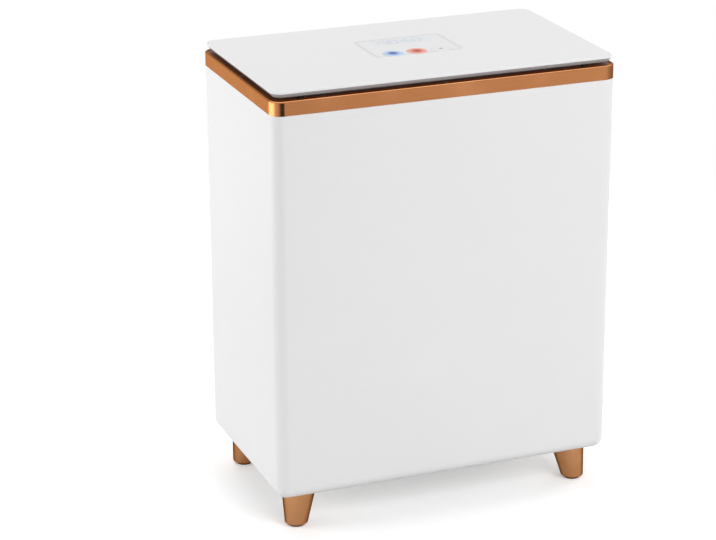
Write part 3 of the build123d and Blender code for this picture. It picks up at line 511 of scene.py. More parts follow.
def finishes(key_centres: Mapping[Slot, Numbers]) -> dict[Slot, Finish]:
    """Lists the finish of each material slot.

    Args:
        key_centres: The middle of each key, in metres.

    Returns:
        A finish for each slot of the record.
    """
    return {
        # Injection-moulded ABS, glossy: a soft white with a broad, faintly rippled reflection.
        Slot.WHITE_SHELL: ClearCoated(
            "gloss_white_moulded_abs", "#E9E9E9", "#E6E6E7", polish=(0.4, 0.46),
            grain=2.2, drift=90, relief=0.003, ior=1.54, coat=0.04, coat_roughness=0.1,
        ),
        # Injection-moulded ABS with a spark-eroded texture: even, matt and slightly warmer than the outside.
        Slot.WHITE_INNER: Finish(
            "textured_white_moulded_abs", "#DEDEDC", "#D6D6D4", polish=(0.45, 0.6),
            grain=0.8, drift=45, relief=0.03, ior=1.54,
        ),
        # Aluminium strip, brushed along its length and anodised copper: fine level lines, a stretched glint.
        Slot.COPPER_TRIM: BrushedMetal(
            "brushed_copper_anodised_aluminium", "#D08F60", "#B27041", polish=(0.13, 0.2),
            drift=35, relief=0.004, glance="#EACEB6",
        ),
        # Turned aluminium, satin and anodised copper: turning lines round each leg and a wide soft highlight.
        # Its glance is near black: painted shade that darkens each leg towards its outline.
        Slot.COPPER_LEG: BrushedMetal(
            "satin_copper_anodised_aluminium", "#DCA273", "#C08352", polish=(0.2, 0.28),
            drift=14, relief=0.003, line_width=0.4, line_length=25, anisotropy=0.3, glance="#24120A",
        ),
        # Moulded nylon: deep matt black with a light bloom.
        Slot.BLACK_PLASTIC: Finish(
            "moulded_black_nylon", "#1D1D1E", "#141415", polish=(0.42, 0.56),
            grain=0.6, drift=8, relief=0.02, ior=1.53,
        ),
        # Moulded nylon, dyed to go with the trim: dark bronze brown, smoother than the black.
        Slot.BRONZE_PLASTIC: Finish(
            "moulded_dark_bronze_nylon", "#7C4222", "#66331A", polish=(0.32, 0.44),
            grain=0.6, drift=8, relief=0.02, ior=1.53,
        ),
        # Deep-drawn aluminium, satin: bright grey with drawing lines up the walls.
        Slot.BUCKET_METAL: BrushedMetal(
            "deep_drawn_satin_aluminium", "#EDEEEF", "#DCDEDF", polish=(0.3, 0.42),
            drift=70, relief=0.005, lines=Axis.UP, line_width=0.9, line_length=120, anisotropy=0.4,
        ),
        # Silicone cured on glass cloth: brick red with the cloth's threads pressed in.
        Slot.HEATER_RUBBER: ClothPressed(
            "cloth_pressed_red_silicone", "#B4492F", "#8C3320", polish=(0.5, 0.65),
            drift=30, relief=0.12, ior=1.41,
        ),
        # Needled glass wool: off-white, ragged and without any gloss.
        Slot.WOOL: Needled(
            "needled_glass_wool", "#E8E3D2", "#C3BBA2", polish=(0.9, 1.0),
            drift=12, relief=0.6, ior=1.45,
        ),
        # Zinc-plated steel: cool grey, with the mottle that plating leaves.
        Slot.STEEL: Finish(
            "zinc_plated_steel", "#C4C7CA", "#A3A6A8", polish=(0.25, 0.4),
            grain=1.5, drift=5, relief=0.008, metallic=1.0,
        ),
        # Glass-epoxy laminate under green solder mask: dark glossy green with paler tracks.
        Slot.BOARD: SolderMask(
            "green_masked_circuit_board", "#2F7A4C", "#12492B", polish=(0.25, 0.4),
            relief=0.04,
        ),
        # Steel laminations with a taped copper winding: thin stacked layers, brown-yellow. A lamination of
        # 0.5 mm wouldn't show, so the layers are drawn about twice as thick.
        Slot.COIL: Wound(
            "taped_copper_winding", "#9A8150", "#4A3A24", polish=(0.35, 0.5),
            relief=0.12, layer=0.9,
        ),
        # Moulded thermoplastic case: near black, with a soft sheen.
        Slot.DARK_CASE: Finish(
            "moulded_dark_grey_case", "#2B2C2F", "#202124", polish=(0.3, 0.42),
            grain=0.9, drift=10, relief=0.01, ior=1.55,
        ),
        # Moulded polyamide terminal: mid green, matt.
        Slot.TERMINAL: Finish(
            "moulded_green_polyamide", "#4C8A5F", "#3B7150", polish=(0.45, 0.55),
            grain=0.7, drift=9, relief=0.015, ior=1.53,
        ),
        # Silicone sleeve over stranded wire: soft grey-white with a slight twist showing.
        Slot.LEAD: Wound(
            "silicone_sleeved_lead", "#D9D3CC", "#BFB8B0", polish=(0.45, 0.6),
            relief=0.03, layer=2.4,
        ),
        # Extruded vinyl sheath: black, half matt.
        Slot.BLACK_LEAD: Finish(
            "extruded_black_vinyl", "#232324", "#191919", polish=(0.38, 0.5),
            grain=1.0, drift=6, relief=0.01, ior=1.54,
        ),
        # Moulded rubber: black, dry and matt.
        Slot.SOFT_BLACK: Finish(
            "moulded_black_rubber", "#1B1B1B", "#121212", polish=(0.6, 0.75),
            grain=0.5, drift=7, relief=0.03, ior=1.52,
        ),
        # Moulded silicone: pale grey, slightly waxy.
        Slot.SOFT_GREY: Finish(
            "moulded_grey_silicone", "#B5B6B7", "#A4A5A6", polish=(0.5, 0.62),
            grain=0.5, drift=7, relief=0.02, ior=1.41,
        ),
        # Polished polycarbonate sheet: white a shade cooler and smoother than the lid round it.
        Slot.FASCIA: ClearCoated(
            "polished_white_polycarbonate", "#EAEAEB", "#E7E7E9", polish=(0.36, 0.42),
            grain=3.0, drift=50, relief=0.001, ior=1.55, coat=0.06, coat_roughness=0.08,
        ),
        # Diffusing polycarbonate: milky white, so the display behind it shows only faintly.
        Slot.WINDOW: ClearCoated(
            "diffusing_white_polycarbonate", "#E8E9EB", "#E5E6E9", polish=(0.32, 0.38),
            grain=3.0, drift=30, relief=0.001, ior=1.55, coat=0.1, coat_roughness=0.06,
        ),
        # Tinted polycarbonate, moulded: blue in the middle and pale where the rim thins.
        Slot.KEY_BLUE: KeyCap(
            "tinted_blue_polycarbonate", "#BDD3F2", "#3F66B4", polish=(0.34, 0.4),
            grain=1.5, relief=0.002, ior=1.55, centre=key_centres[Slot.KEY_BLUE],
        ),
        # Tinted polycarbonate, moulded: red in the middle and orange-red at the rim.
        Slot.KEY_RED: KeyCap(
            "tinted_red_polycarbonate", "#EFA48E", "#BE3622", polish=(0.34, 0.4),
            grain=1.5, relief=0.002, ior=1.55, centre=key_centres[Slot.KEY_RED],
        ),
        # White polycarbonate, moulded: all but lost against the fascia.
        Slot.KEY_WHITE: KeyCap(
            "moulded_white_polycarbonate", "#E7E8E9", "#E9E9EA", polish=(0.36, 0.42),
            grain=1.5, relief=0.002, ior=1.55, centre=key_centres[Slot.KEY_WHITE],
        ),
    }


class Ink(Enum):
    """Flat colours of the panel's marks: screen-printing inks, and the tints of the display's segments."""

    PALE_GREY = ("printed_pale_grey_ink", "#B6B8BD", "#AEB0B6")
    MID_GREY = ("printed_mid_grey_ink", "#8B8E94", "#7F8288")
    NAVY = ("printed_navy_ink", "#2C4488", "#253A78")
    DARK_RED = ("printed_dark_red_ink", "#8C1E14", "#7A1810")
    LAVENDER = ("lit_lavender_segment", "#C3C4E4", "#BABBDD")
    CYAN = ("lit_cyan_segment", "#B2DBE2", "#A8D3DB")

    def finish(self) -> Finish:
        """Returns the ink as a slightly glossy finish, with the grain of a screen mesh of 0.15 mm."""
        name, colour, shade = self.value
        return Finish(name, colour, shade, polish=(0.3, 0.38), grain=0.15, drift=4, relief=0.001, ior=1.49)


class Paints:
    """Makes each material once and hands it out."""

    def __init__(self, by_slot: Mapping[Slot, Finish]) -> None:
        """Keeps the finishes.

        Args:
            by_slot: The finish of each material slot.
        """
        self._by_slot = dict(by_slot)
        self._made: dict[Union[Slot, Ink], bpy.types.Material] = {}

    def of(self, wanted: Union[Slot, Ink]) -> bpy.types.Material:
        """Finds the material of a slot or an ink, which is made at its first use.

        Args:
            wanted: The slot or the ink.

        Returns:
            Its material.
        """
        if wanted not in self._made:
            finish = wanted.finish() if isinstance(wanted, Ink) else self._by_slot[wanted]
            self._made[wanted] = finish.make()
        return self._made[wanted]


# ---------------------------------------------------------------- modelling by hand
def deselect_all() -> None:
    """Leaves edit mode and deselects every object."""
    if bpy.context.mode != "OBJECT":
        bpy.ops.object.mode_set(mode="OBJECT")
    bpy.ops.object.select_all(action="DESELECT")


def add_primitive(add: Callable[..., set[str]], **settings: object) -> bpy.types.Object:
    """Adds a primitive with nothing else selected, and opens it in edit mode.

    Args:
        add: The operator that adds it.
        **settings: The operator's settings.

    Returns:
        The new object, in edit mode with its whole mesh selected.
    """
    deselect_all()
    add(**settings)
    made = bpy.context.object
    bpy.ops.object.mode_set(mode="EDIT")
    bpy.ops.mesh.select_all(action="SELECT")
    return made


def select_faces(made: bpy.types.Object, wanted: Callable[[bmesh.types.BMFace], bool]) -> None:
    """Selects the faces of the mesh in edit mode that a test picks.

    Args:
        made: The object in edit mode.
        wanted: The test.
    """
    bpy.ops.mesh.select_mode(type="FACE")
    bpy.ops.mesh.select_all(action="DESELECT")
    mesh = bmesh.from_edit_mesh(made.data)
    for face in mesh.faces:
        face.select = wanted(face)
    bmesh.update_edit_mesh(made.data)


def select_edges(made: bpy.types.Object, wanted: Callable[[bmesh.types.BMVert], bool]) -> None:
    """Selects the edges of the mesh in edit mode whose corners both pass a test.

    Args:
        made: The object in edit mode.
        wanted: The test.
    """
    bpy.ops.mesh.select_mode(type="EDGE")
    bpy.ops.mesh.select_all(action="DESELECT")
    mesh = bmesh.from_edit_mesh(made.data)
    for edge in mesh.edges:
        edge.select = all(wanted(corner) for corner in edge.verts)
    bmesh.update_edit_mesh(made.data)


def thicken(height: float) -> None:
    """Extrudes the flat mesh in edit mode upwards into a closed plate.

    Args:
        height: The plate's thickness, in metres.
    """
    bpy.ops.mesh.select_all(action="SELECT")
    bpy.ops.mesh.extrude_region_move(TRANSFORM_OT_translate={"value": (0.0, 0.0, height)})
    bpy.ops.mesh.select_all(action="SELECT")
    bpy.ops.mesh.normals_make_consistent(inside=False)


def apply_place(made: bpy.types.Object) -> None:
    """Leaves edit mode and puts the object's place into its mesh.

    Args:
        made: The object.
    """
    deselect_all()
    made.select_set(True)
    bpy.context.view_layer.objects.active = made
    bpy.ops.object.transform_apply(location=True, rotation=True, scale=True)


def join(parts: Sequence[bpy.types.Object], name: str) -> bpy.types.Object:
    """Joins finished objects into one.

    Args:
        parts: The objects, each with its place in its mesh.
        name: The name of the joined piece.

    Returns:
        The joined piece.
    """
    deselect_all()
    for part in parts:
        part.select_set(True)
    bpy.context.view_layer.objects.active = parts[0]
    if len(parts) > 1:
        bpy.ops.object.join()
    parts[0].name = name
    parts[0].data.name = name
    return parts[0]


def hand_over(
    piece: bpy.types.Object,
    material: bpy.types.Material,
    body: Body,
    replaced: Iterable[str] = (),
) -> None:
    """Dresses a finished piece, sets it on its body and hides the CAD nodes that it stands for.

    Args:
        piece: The finished piece.
        material: Its material.
        body: The body that it moves with.
        replaced: The CAD nodes that it stands for.
    """
    piece.data.materials.clear()
    piece.data.materials.append(material)
    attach(piece, body.value)
    if replaced:
        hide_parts(*replaced)
    LOG.info("%s rides on %s", piece.name, body.value)


# ---------------------------------------------------------------- printed marks
@dataclass(frozen=True)
class Bar:
    """Straight stroke of a mark, in millimetres from the mark's middle, turned by degrees.

    Its corners are cut by a share of its width.
    """

    x: float
    y: float
    length: float
    width: float
    turn: float = 0.0
    cut: float = 0.5

    def build(self, centre: Vector, height: float) -> bpy.types.Object:
        """Models the stroke as a thin plate.

        Args:
            centre: The mark's middle on its surface, in metres.
            height: The thickness of the print, in metres.

        Returns:
            The stroke, with its place in its mesh.
        """
        made = add_primitive(bpy.ops.mesh.primitive_plane_add, size=1.0)
        bpy.ops.transform.resize(value=(self.length * MM, self.width * MM, 1.0))
        bpy.ops.mesh.bevel(offset=self.cut * self.width * MM, segments=1, affect="VERTICES")
        thicken(height)
        made.rotation_euler.z = math.radians(self.turn)
        made.location = centre + Vector((self.x * MM, self.y * MM, 0.0))
        apply_place(made)
        return made


@dataclass(frozen=True)
class Arc:
    """Curved stroke of a mark, in millimetres and degrees, turning left from its start."""

    x: float
    y: float
    radius: float
    width: float
    start: float = 0.0
    sweep: float = 360.0
    steps: int = 28

    def build(self, centre: Vector, height: float) -> bpy.types.Object:
        """Models the stroke by spinning a short edge.

        Args:
            centre: The mark's middle on its surface, in metres.
            height: The thickness of the print, in metres.

        Returns:
            The stroke, with its place in its mesh.
        """
        made = add_primitive(bpy.ops.mesh.primitive_plane_add, size=self.width * MM)
        bpy.ops.transform.translate(value=(self.radius * MM, 0.0, 0.0))
        select_edges(made, lambda corner: corner.co.y < 0)
        bpy.ops.mesh.select_all(action="INVERT")
        bpy.ops.mesh.delete(type="EDGE")
        bpy.ops.mesh.select_all(action="SELECT")
        bpy.ops.transform.resize(value=(1.0, 0.0, 1.0), center_override=(0.0, 0.0, 0.0))
        turn = math.radians(self.sweep)
        bpy.ops.mesh.spin(steps=self.steps, angle=turn, center=(0, 0, 0), axis=(0, 0, 1))
        bpy.ops.mesh.select_all(action="SELECT")
        bpy.ops.mesh.remove_doubles(threshold=WELD)
        thicken(height)
        made.rotation_euler.z = math.radians(self.start)
        made.location = centre + Vector((self.x * MM, self.y * MM, 0.0))
        apply_place(made)
        return made


class Symbol(Enum):
    """Generic symbols of the panel, as strokes in millimetres."""

    CLOCK = (Arc(0, 0, 3.4, 0.8), Bar(0, 1.0, 2.6, 0.7, turn=90), Bar(0.8, -0.1, 2.0, 0.7))
    POWER = (Arc(0, 0, 3.3, 0.9, start=125, sweep=290), Bar(0, 2.4, 3.6, 0.9, turn=90))
    LOCK = (Bar(0, -0.8, 4.4, 2.8, cut=0.15), Arc(0, 0.5, 1.4, 0.6, sweep=180, steps=12))
    TIMER = (Arc(0, 0, 1.7, 0.4), Bar(0, 0.5, 1.3, 0.35, turn=90), Bar(0.4, 0, 1.0, 0.35))
    WARMTH = (Arc(0, -1.3, 0.9, 0.4), Bar(0, 0.8, 3.2, 0.7, turn=90, cut=0.3))

    def build(self, name: str, centre: Vector, height: float) -> bpy.types.Object:
        """Models the symbol.

        Args:
            name: The piece's name.
            centre: The symbol's middle on its surface, in metres.
            height: The thickness of the print, in metres.

        Returns:
            The symbol as one piece.
        """
        return join([stroke.build(centre, height) for stroke in self.value], name)


@dataclass(frozen=True)
class Digits:
    """Two seven-segment digits of the display, in millimetres."""

    text: str
    width: float = 7.6
    tall: float = 14.0
    pitch: float = 10.4
    stroke: float = 1.25
    gap: float = 0.4

    # Which segments a digit lights: top, upper left, upper right, middle, lower left, lower right, bottom.
    LIT = {"0": "1110111", "3": "1011011", "6": "1101111"}

    def segments(self, middle: float, lit: str) -> list[Bar]:
        """Places the lit segments of one digit.

        Args:
            middle: The digit's middle, to the right of the pair's middle.
            lit: A 1 for each segment that shows.

        Returns:
            A stroke for each lit segment.
        """
        side = self.width / 2
        half = self.tall / 2
        level = self.width - self.stroke - self.gap
        upright = half - self.stroke / 2 - self.gap
        bars = [
            Bar(middle, half, level, self.stroke),
            Bar(middle - side, half / 2, upright, self.stroke, turn=90),
            Bar(middle + side, half / 2, upright, self.stroke, turn=90),
            Bar(middle, 0, level, self.stroke),
            Bar(middle - side, -half / 2, upright, self.stroke, turn=90),
            Bar(middle + side, -half / 2, upright, self.stroke, turn=90),
            Bar(middle, -half, level, self.stroke),
        ]
        return [bar for bar, shown in zip(bars, lit) if shown == "1"]

    def build(self, name: str, centre: Vector, height: float) -> bpy.types.Object:
        """Models the digits.

        Args:
            name: The piece's name.
            centre: The middle of the pair, in metres.
            height: The thickness of the segments, in metres.

        Returns:
            The digits as one piece.
        """
        first = -self.pitch * (len(self.text) - 1) / 2
        bars = []
        for place, digit in enumerate(self.text):
            bars.extend(self.segments(first + place * self.pitch, self.LIT[digit]))
        return join([bar.build(centre, height) for bar in bars], name)


@dataclass
class ControlPanel:
    """Printed marks of the control panel: outline, display digits and the symbols on and beside them."""

    paints: Paints
    print_height: float = 0.04 * MM
    outline_inset: float = 2.2 * MM
    outline_width: float = 0.75 * MM
    outline_corner: float = 4.0 * MM
    corner_steps: int = 8
    digit_spread: float = 14.0 * MM
    symbol_gap: float = 12.6 * MM

    def surface(self, node: str) -> Vector:
        """Finds the middle of a node's top.

        Args:
            node: The node's name.

        Returns:
            The point, in metres.
        """
        low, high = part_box(node)
        middle = (low + high) / 2
        return Vector((middle.x, middle.y, high.z))

    def outline(self) -> None:
        """Models the fine line round the panel, inside its seam."""
        low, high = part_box("control_fascia")
        inset = self.outline_inset
        made = add_primitive(bpy.ops.mesh.primitive_plane_add, size=1.0)
        bpy.ops.transform.resize(value=(high.x - low.x - 2 * inset, high.y - low.y - 2 * inset, 1.0))
        bpy.ops.mesh.bevel(offset=self.outline_corner, segments=self.corner_steps, affect="VERTICES")
        bpy.ops.mesh.select_all(action="SELECT")
        bpy.ops.mesh.inset(thickness=self.outline_width)
        bpy.ops.mesh.delete(type="FACE")
        thicken(self.print_height)
        made.location = self.surface("control_fascia")
        apply_place(made)
        piece = join([made], "panel_outline_print")
        hand_over(piece, self.paints.of(Ink.PALE_GREY), Body.LID)

    def display(self) -> None:
        """Models the two pairs of digits and the symbol beside each."""
        middle = self.surface("display_window")
        pairs = (
            (-1, "timer", Digits("30"), Symbol.TIMER, Ink.LAVENDER),
            (1, "warmth", Digits("60"), Symbol.WARMTH, Ink.CYAN),
        )
        for side, name, digits, symbol, ink in pairs:
            centre = middle + Vector((side * self.digit_spread, 0, 0))
            piece = digits.build(f"{name}_digits", centre, self.print_height)
            hand_over(piece, self.paints.of(ink), Body.LID)
            beside = centre - Vector((self.symbol_gap, 0, 0))
            mark = symbol.build(f"{name}_symbol_print", beside, self.print_height)
            hand_over(mark, self.paints.of(Ink.PALE_GREY), Body.LID)

    def keys(self) -> None:
        """Models the symbol on each key."""
        marks = (
            (Body.BLUE_KEY, Slot.KEY_BLUE, Symbol.CLOCK, Ink.NAVY),
            (Body.RED_KEY, Slot.KEY_RED, Symbol.POWER, Ink.DARK_RED),
            (Body.WHITE_KEY, Slot.KEY_WHITE, Symbol.LOCK, Ink.MID_GREY),
        )
        for body, slot, symbol, ink in marks:
            key = body.value
            piece = symbol.build(f"{key}_symbol_print", self.surface(key), self.print_height)
            hand_over(piece, self.paints.of(ink), body)

    def build(self) -> None:
        """Models all the panel's marks."""
        self.outline()
        self.display()
        self.keys()


# ---------------------------------------------------------------- screws and pads
def islands(node: str) -> list[tuple[Vector, Vector]]:
    """Finds the separate solids of a CAD node.

    Args:
        node: The node's name.

    Returns:
        The lowest and the highest corner of each solid, in metres.
    """
    mesh = bmesh.new()
    mesh.from_mesh(bpy.data.objects[node].data)
    bmesh.ops.remove_doubles(mesh, verts=mesh.verts, dist=WELD)
    unseen = set(mesh.verts)
    boxes = []
    while unseen:
        front = [unseen.pop()]
        corners = []
        while front:
            vertex = front.pop()
            corners.append(vertex.co.copy())
            near = {edge.other_vert(vertex) for edge in vertex.link_edges} & unseen
            unseen -= near
            front.extend(near)
        low, high = (Vector(map(end, zip(*corners))) for end in (min, max))
        boxes.append((low, high))
    mesh.free()
    return sorted(boxes, key=lambda box: tuple(box[0]))


class Drive(Enum):
    """Which way the tip of a screw points."""

    UP = Matrix.Identity(4)
    DOWN = Matrix.Rotation(math.pi, 4, "X")
    BACK = Matrix.Rotation(-math.pi / 2, 4, "X")


@dataclass
class PanHeadScrews:
    """Pan-head screws with a cross recess, in place of one node's plain ones. Sizes are in metres.

    An arm of the recess and its width are measured from its middle. The root of the thread, the tip of the
    screw and the bottom of the recess are shares of the full width, and smooth_below is an angle.
    """

    node: str
    body: Body
    drive: Drive
    paints: Paints
    head_height: float = 1.4 * MM
    shank_radius: float = 1.4 * MM
    crown: float = 0.55 * MM
    recess_depth: float = 0.8 * MM
    recess_arm: float = 1.35 * MM
    recess_width: float = 0.42 * MM
    recess_bottom: tuple[float, float] = (0.55, 0.7)
    thread_pitch: float = 1.0 * MM
    thread_root: float = 0.86
    fewest_threads: int = 4
    tip: float = 0.5
    facets: int = 32
    crown_steps: int = 4
    smooth_below: float = math.radians(40)

    def model(self, radius: float, length: float) -> bpy.types.Object:
        """Models one screw that points up, with the underside of its head at the origin.

        Args:
            radius: The head's radius, in metres.
            length: The shank's length, in metres.

        Returns:
            The screw.
        """
        cylinder = {"vertices": self.facets, "radius": radius, "depth": self.head_height}
        head = add_primitive(bpy.ops.mesh.primitive_cylinder_add, **cylinder)
        bpy.ops.transform.translate(value=(0, 0, -self.head_height / 2))
        select_edges(head, lambda corner: corner.co.z < WELD - self.head_height)
        bpy.ops.mesh.bevel(offset=self.crown, segments=self.crown_steps, affect="EDGES")
        select_faces(head, lambda face: face.normal.z > LEVEL)
        bpy.ops.mesh.inset(thickness=radius - self.shank_radius)
        threads = max(self.fewest_threads, round(length / self.thread_pitch))
        # Each turn of the thread is a flank that narrows to its root and one that widens again.
        for flank in range(threads * 2):
            bpy.ops.mesh.extrude_region_move(TRANSFORM_OT_translate={"value": (0, 0, length / threads / 2)})
            grow = self.thread_root if flank % 2 == 0 else 1 / self.thread_root
            bpy.ops.transform.resize(value=(grow, grow, 1.0))
        bpy.ops.transform.resize(value=(self.tip, self.tip, 1.0))
        bpy.ops.object.mode_set(mode="OBJECT")
        self.cut_recess(head)
        return head

    def cut_recess(self, head: bpy.types.Object) -> None:
        """Cuts the tapered cross into the crown of the head.

        Args:
            head: The screw.
        """
        for turn in (0.0, math.pi / 2):
            cutter = add_primitive(bpy.ops.mesh.primitive_cube_add, size=1.0)
            size = (2 * self.recess_arm, 2 * self.recess_width, 2 * self.recess_depth)
            bpy.ops.transform.resize(value=size)
            select_faces(cutter, lambda face: face.normal.z > LEVEL)
            bpy.ops.transform.resize(value=(*self.recess_bottom, 1.0))
            cutter.rotation_euler.z = turn
            cutter.location.z = -self.head_height
            apply_place(cutter)
            deselect_all()
            bpy.context.view_layer.objects.active = head
            head.select_set(True)
            cut = head.modifiers.new("cross_recess", "BOOLEAN")
            cut.object = cutter
            cut.operation = "DIFFERENCE"
            cut.solver = "EXACT"
            bpy.ops.object.modifier_apply(modifier=cut.name)
            bpy.data.objects.remove(cutter)

    def build(self) -> None:
        """Copies the screw to the place of each plain one and replaces the node."""
        plain_screws = islands(self.node)
        low, high = plain_screws[0]
        radius = (high.x - low.x) / 2
        shank = max(high.z - low.z, high.y - low.y) - self.head_height
        pattern = self.model(radius, shank)
        middle_to_seat = self.drive.value.to_3x3() @ Vector((0, 0, (self.head_height - shank) / 2))
        screws = []
        for low, high in plain_screws:
            seat = (low + high) / 2 + middle_to_seat
            screw = pattern.copy()
            screw.data = pattern.data.copy()
            bpy.context.scene.collection.objects.link(screw)
            screw.matrix_world = Matrix.Translation(seat) @ self.drive.value
            apply_place(screw)
            screws.append(screw)
        bpy.data.objects.remove(pattern)
        piece = join(screws, f"{self.node}_pan_head")
        bpy.ops.object.shade_smooth_by_angle(angle=self.smooth_below)
        hand_over(piece, self.paints.of(Slot.STEEL), self.body, [self.node])


@dataclass
class FootPads:
    """Rubber pads under the legs, with the grooves that let them grip. Sizes are in metres.

    Each groove is given by how far its outer edge lies from the pad's outline.
    """

    paints: Paints
    thickness: float = 1.5 * MM
    edge: float = 0.4 * MM
    edge_steps: int = 3
    groove_depth: float = 0.35 * MM
    grooves: tuple[float, ...] = (2.4 * MM, 4.6 * MM)
    groove_width: float = 0.8 * MM
    facets: int = 48
    smooth_below: float = math.radians(35)

    def pad(self, low: Vector, high: Vector) -> bpy.types.Object:
        """Models one pad.

        Args:
            low: The lowest corner of the plain pad.
            high: The highest corner of the plain pad.

        Returns:
            The pad, with its place in its mesh.
        """
        radius = (high.x - low.x) / 2
        cylinder = {"vertices": self.facets, "radius": radius, "depth": self.thickness}
        made = add_primitive(bpy.ops.mesh.primitive_cylinder_add, **cylinder)
        select_edges(made, lambda corner: corner.co.z < 0)
        bpy.ops.mesh.bevel(offset=self.edge, segments=self.edge_steps, affect="EDGES")
        inside = radius - self.edge
        for groove in self.grooves:
            outer = radius - groove
            inner = outer - self.groove_width
            # The face in the middle of the underside has many corners, and those of the rings have four.
            select_faces(made, lambda face: face.normal.z < -LEVEL and len(face.verts) > QUAD)
            bpy.ops.mesh.inset(thickness=inside - outer)
            bpy.ops.mesh.inset(thickness=self.groove_width)
            self.sink_ring(made, inner, outer)
            inside = inner
        made.location = Vector(((low.x + high.x) / 2, (low.y + high.y) / 2, low.z + self.thickness / 2))
        apply_place(made)
        return made

    def sink_ring(self, made: bpy.types.Object, inner: float, outer: float) -> None:
        """Presses a ring of the underside inwards.

        Args:
            made: The pad, in edit mode.
            inner: The ring's inner radius.
            outer: The ring's outer radius.
        """

        def in_ring(face: bmesh.types.BMFace) -> bool:
            """Says whether a face belongs to the ring."""
            reach = face.calc_center_median().xy.length
            return face.normal.z < -LEVEL and inner < reach < outer and len(face.verts) == QUAD

        select_faces(made, in_ring)
        bpy.ops.mesh.extrude_region_move(TRANSFORM_OT_translate={"value": (0, 0, self.groove_depth)})

    def build(self) -> None:
        """Models the four pads and replaces the plain ones."""
        pads = [self.pad(low, high) for low, high in islands("leg_pads")]
        piece = join(pads, "grooved_foot_pads")
        bpy.ops.object.shade_smooth_by_angle(angle=self.smooth_below)
        hand_over(piece, self.paints.of(Slot.SOFT_BLACK), Body.HOUSING, ["leg_pads"])


# ---------------------------------------------------------------- studio
@dataclass(frozen=True)
class Softbox:
    """Square studio lamp. Places are in metres, bearings in degrees from the front towards the left side."""

    name: str
    bearing: float
    elevation: float
    distance: float
    side: float
    level: float

    def place(self, target: Vector) -> None:
        """Hangs the lamp and aims it.

        Args:
            target: The point that it lights.
        """
        bearing, elevation = math.radians(self.bearing), math.radians(self.elevation)
        flat = math.cos(elevation)
        away = Vector((-math.sin(bearing) * flat, -math.cos(bearing) * flat, math.sin(elevation)))
        lamp = bpy.data.lights.new(self.name, "AREA")
        lamp.shape = "SQUARE"
        lamp.size = self.side
        # A white surface that faces the lamp reaches level 1 at a power of pi squared times distance squared.
        lamp.energy = self.level * (math.pi * self.distance) ** 2
        holder = bpy.data.objects.new(self.name, lamp)
        holder.location = target + away * self.distance
        holder.rotation_euler = away.to_track_quat("Z", "Y").to_euler()
        # Reflections meet the surroundings instead, so a pale surface keeps its tone at low angles.
        holder.visible_glossy = False
        bpy.context.scene.collection.objects.link(holder)


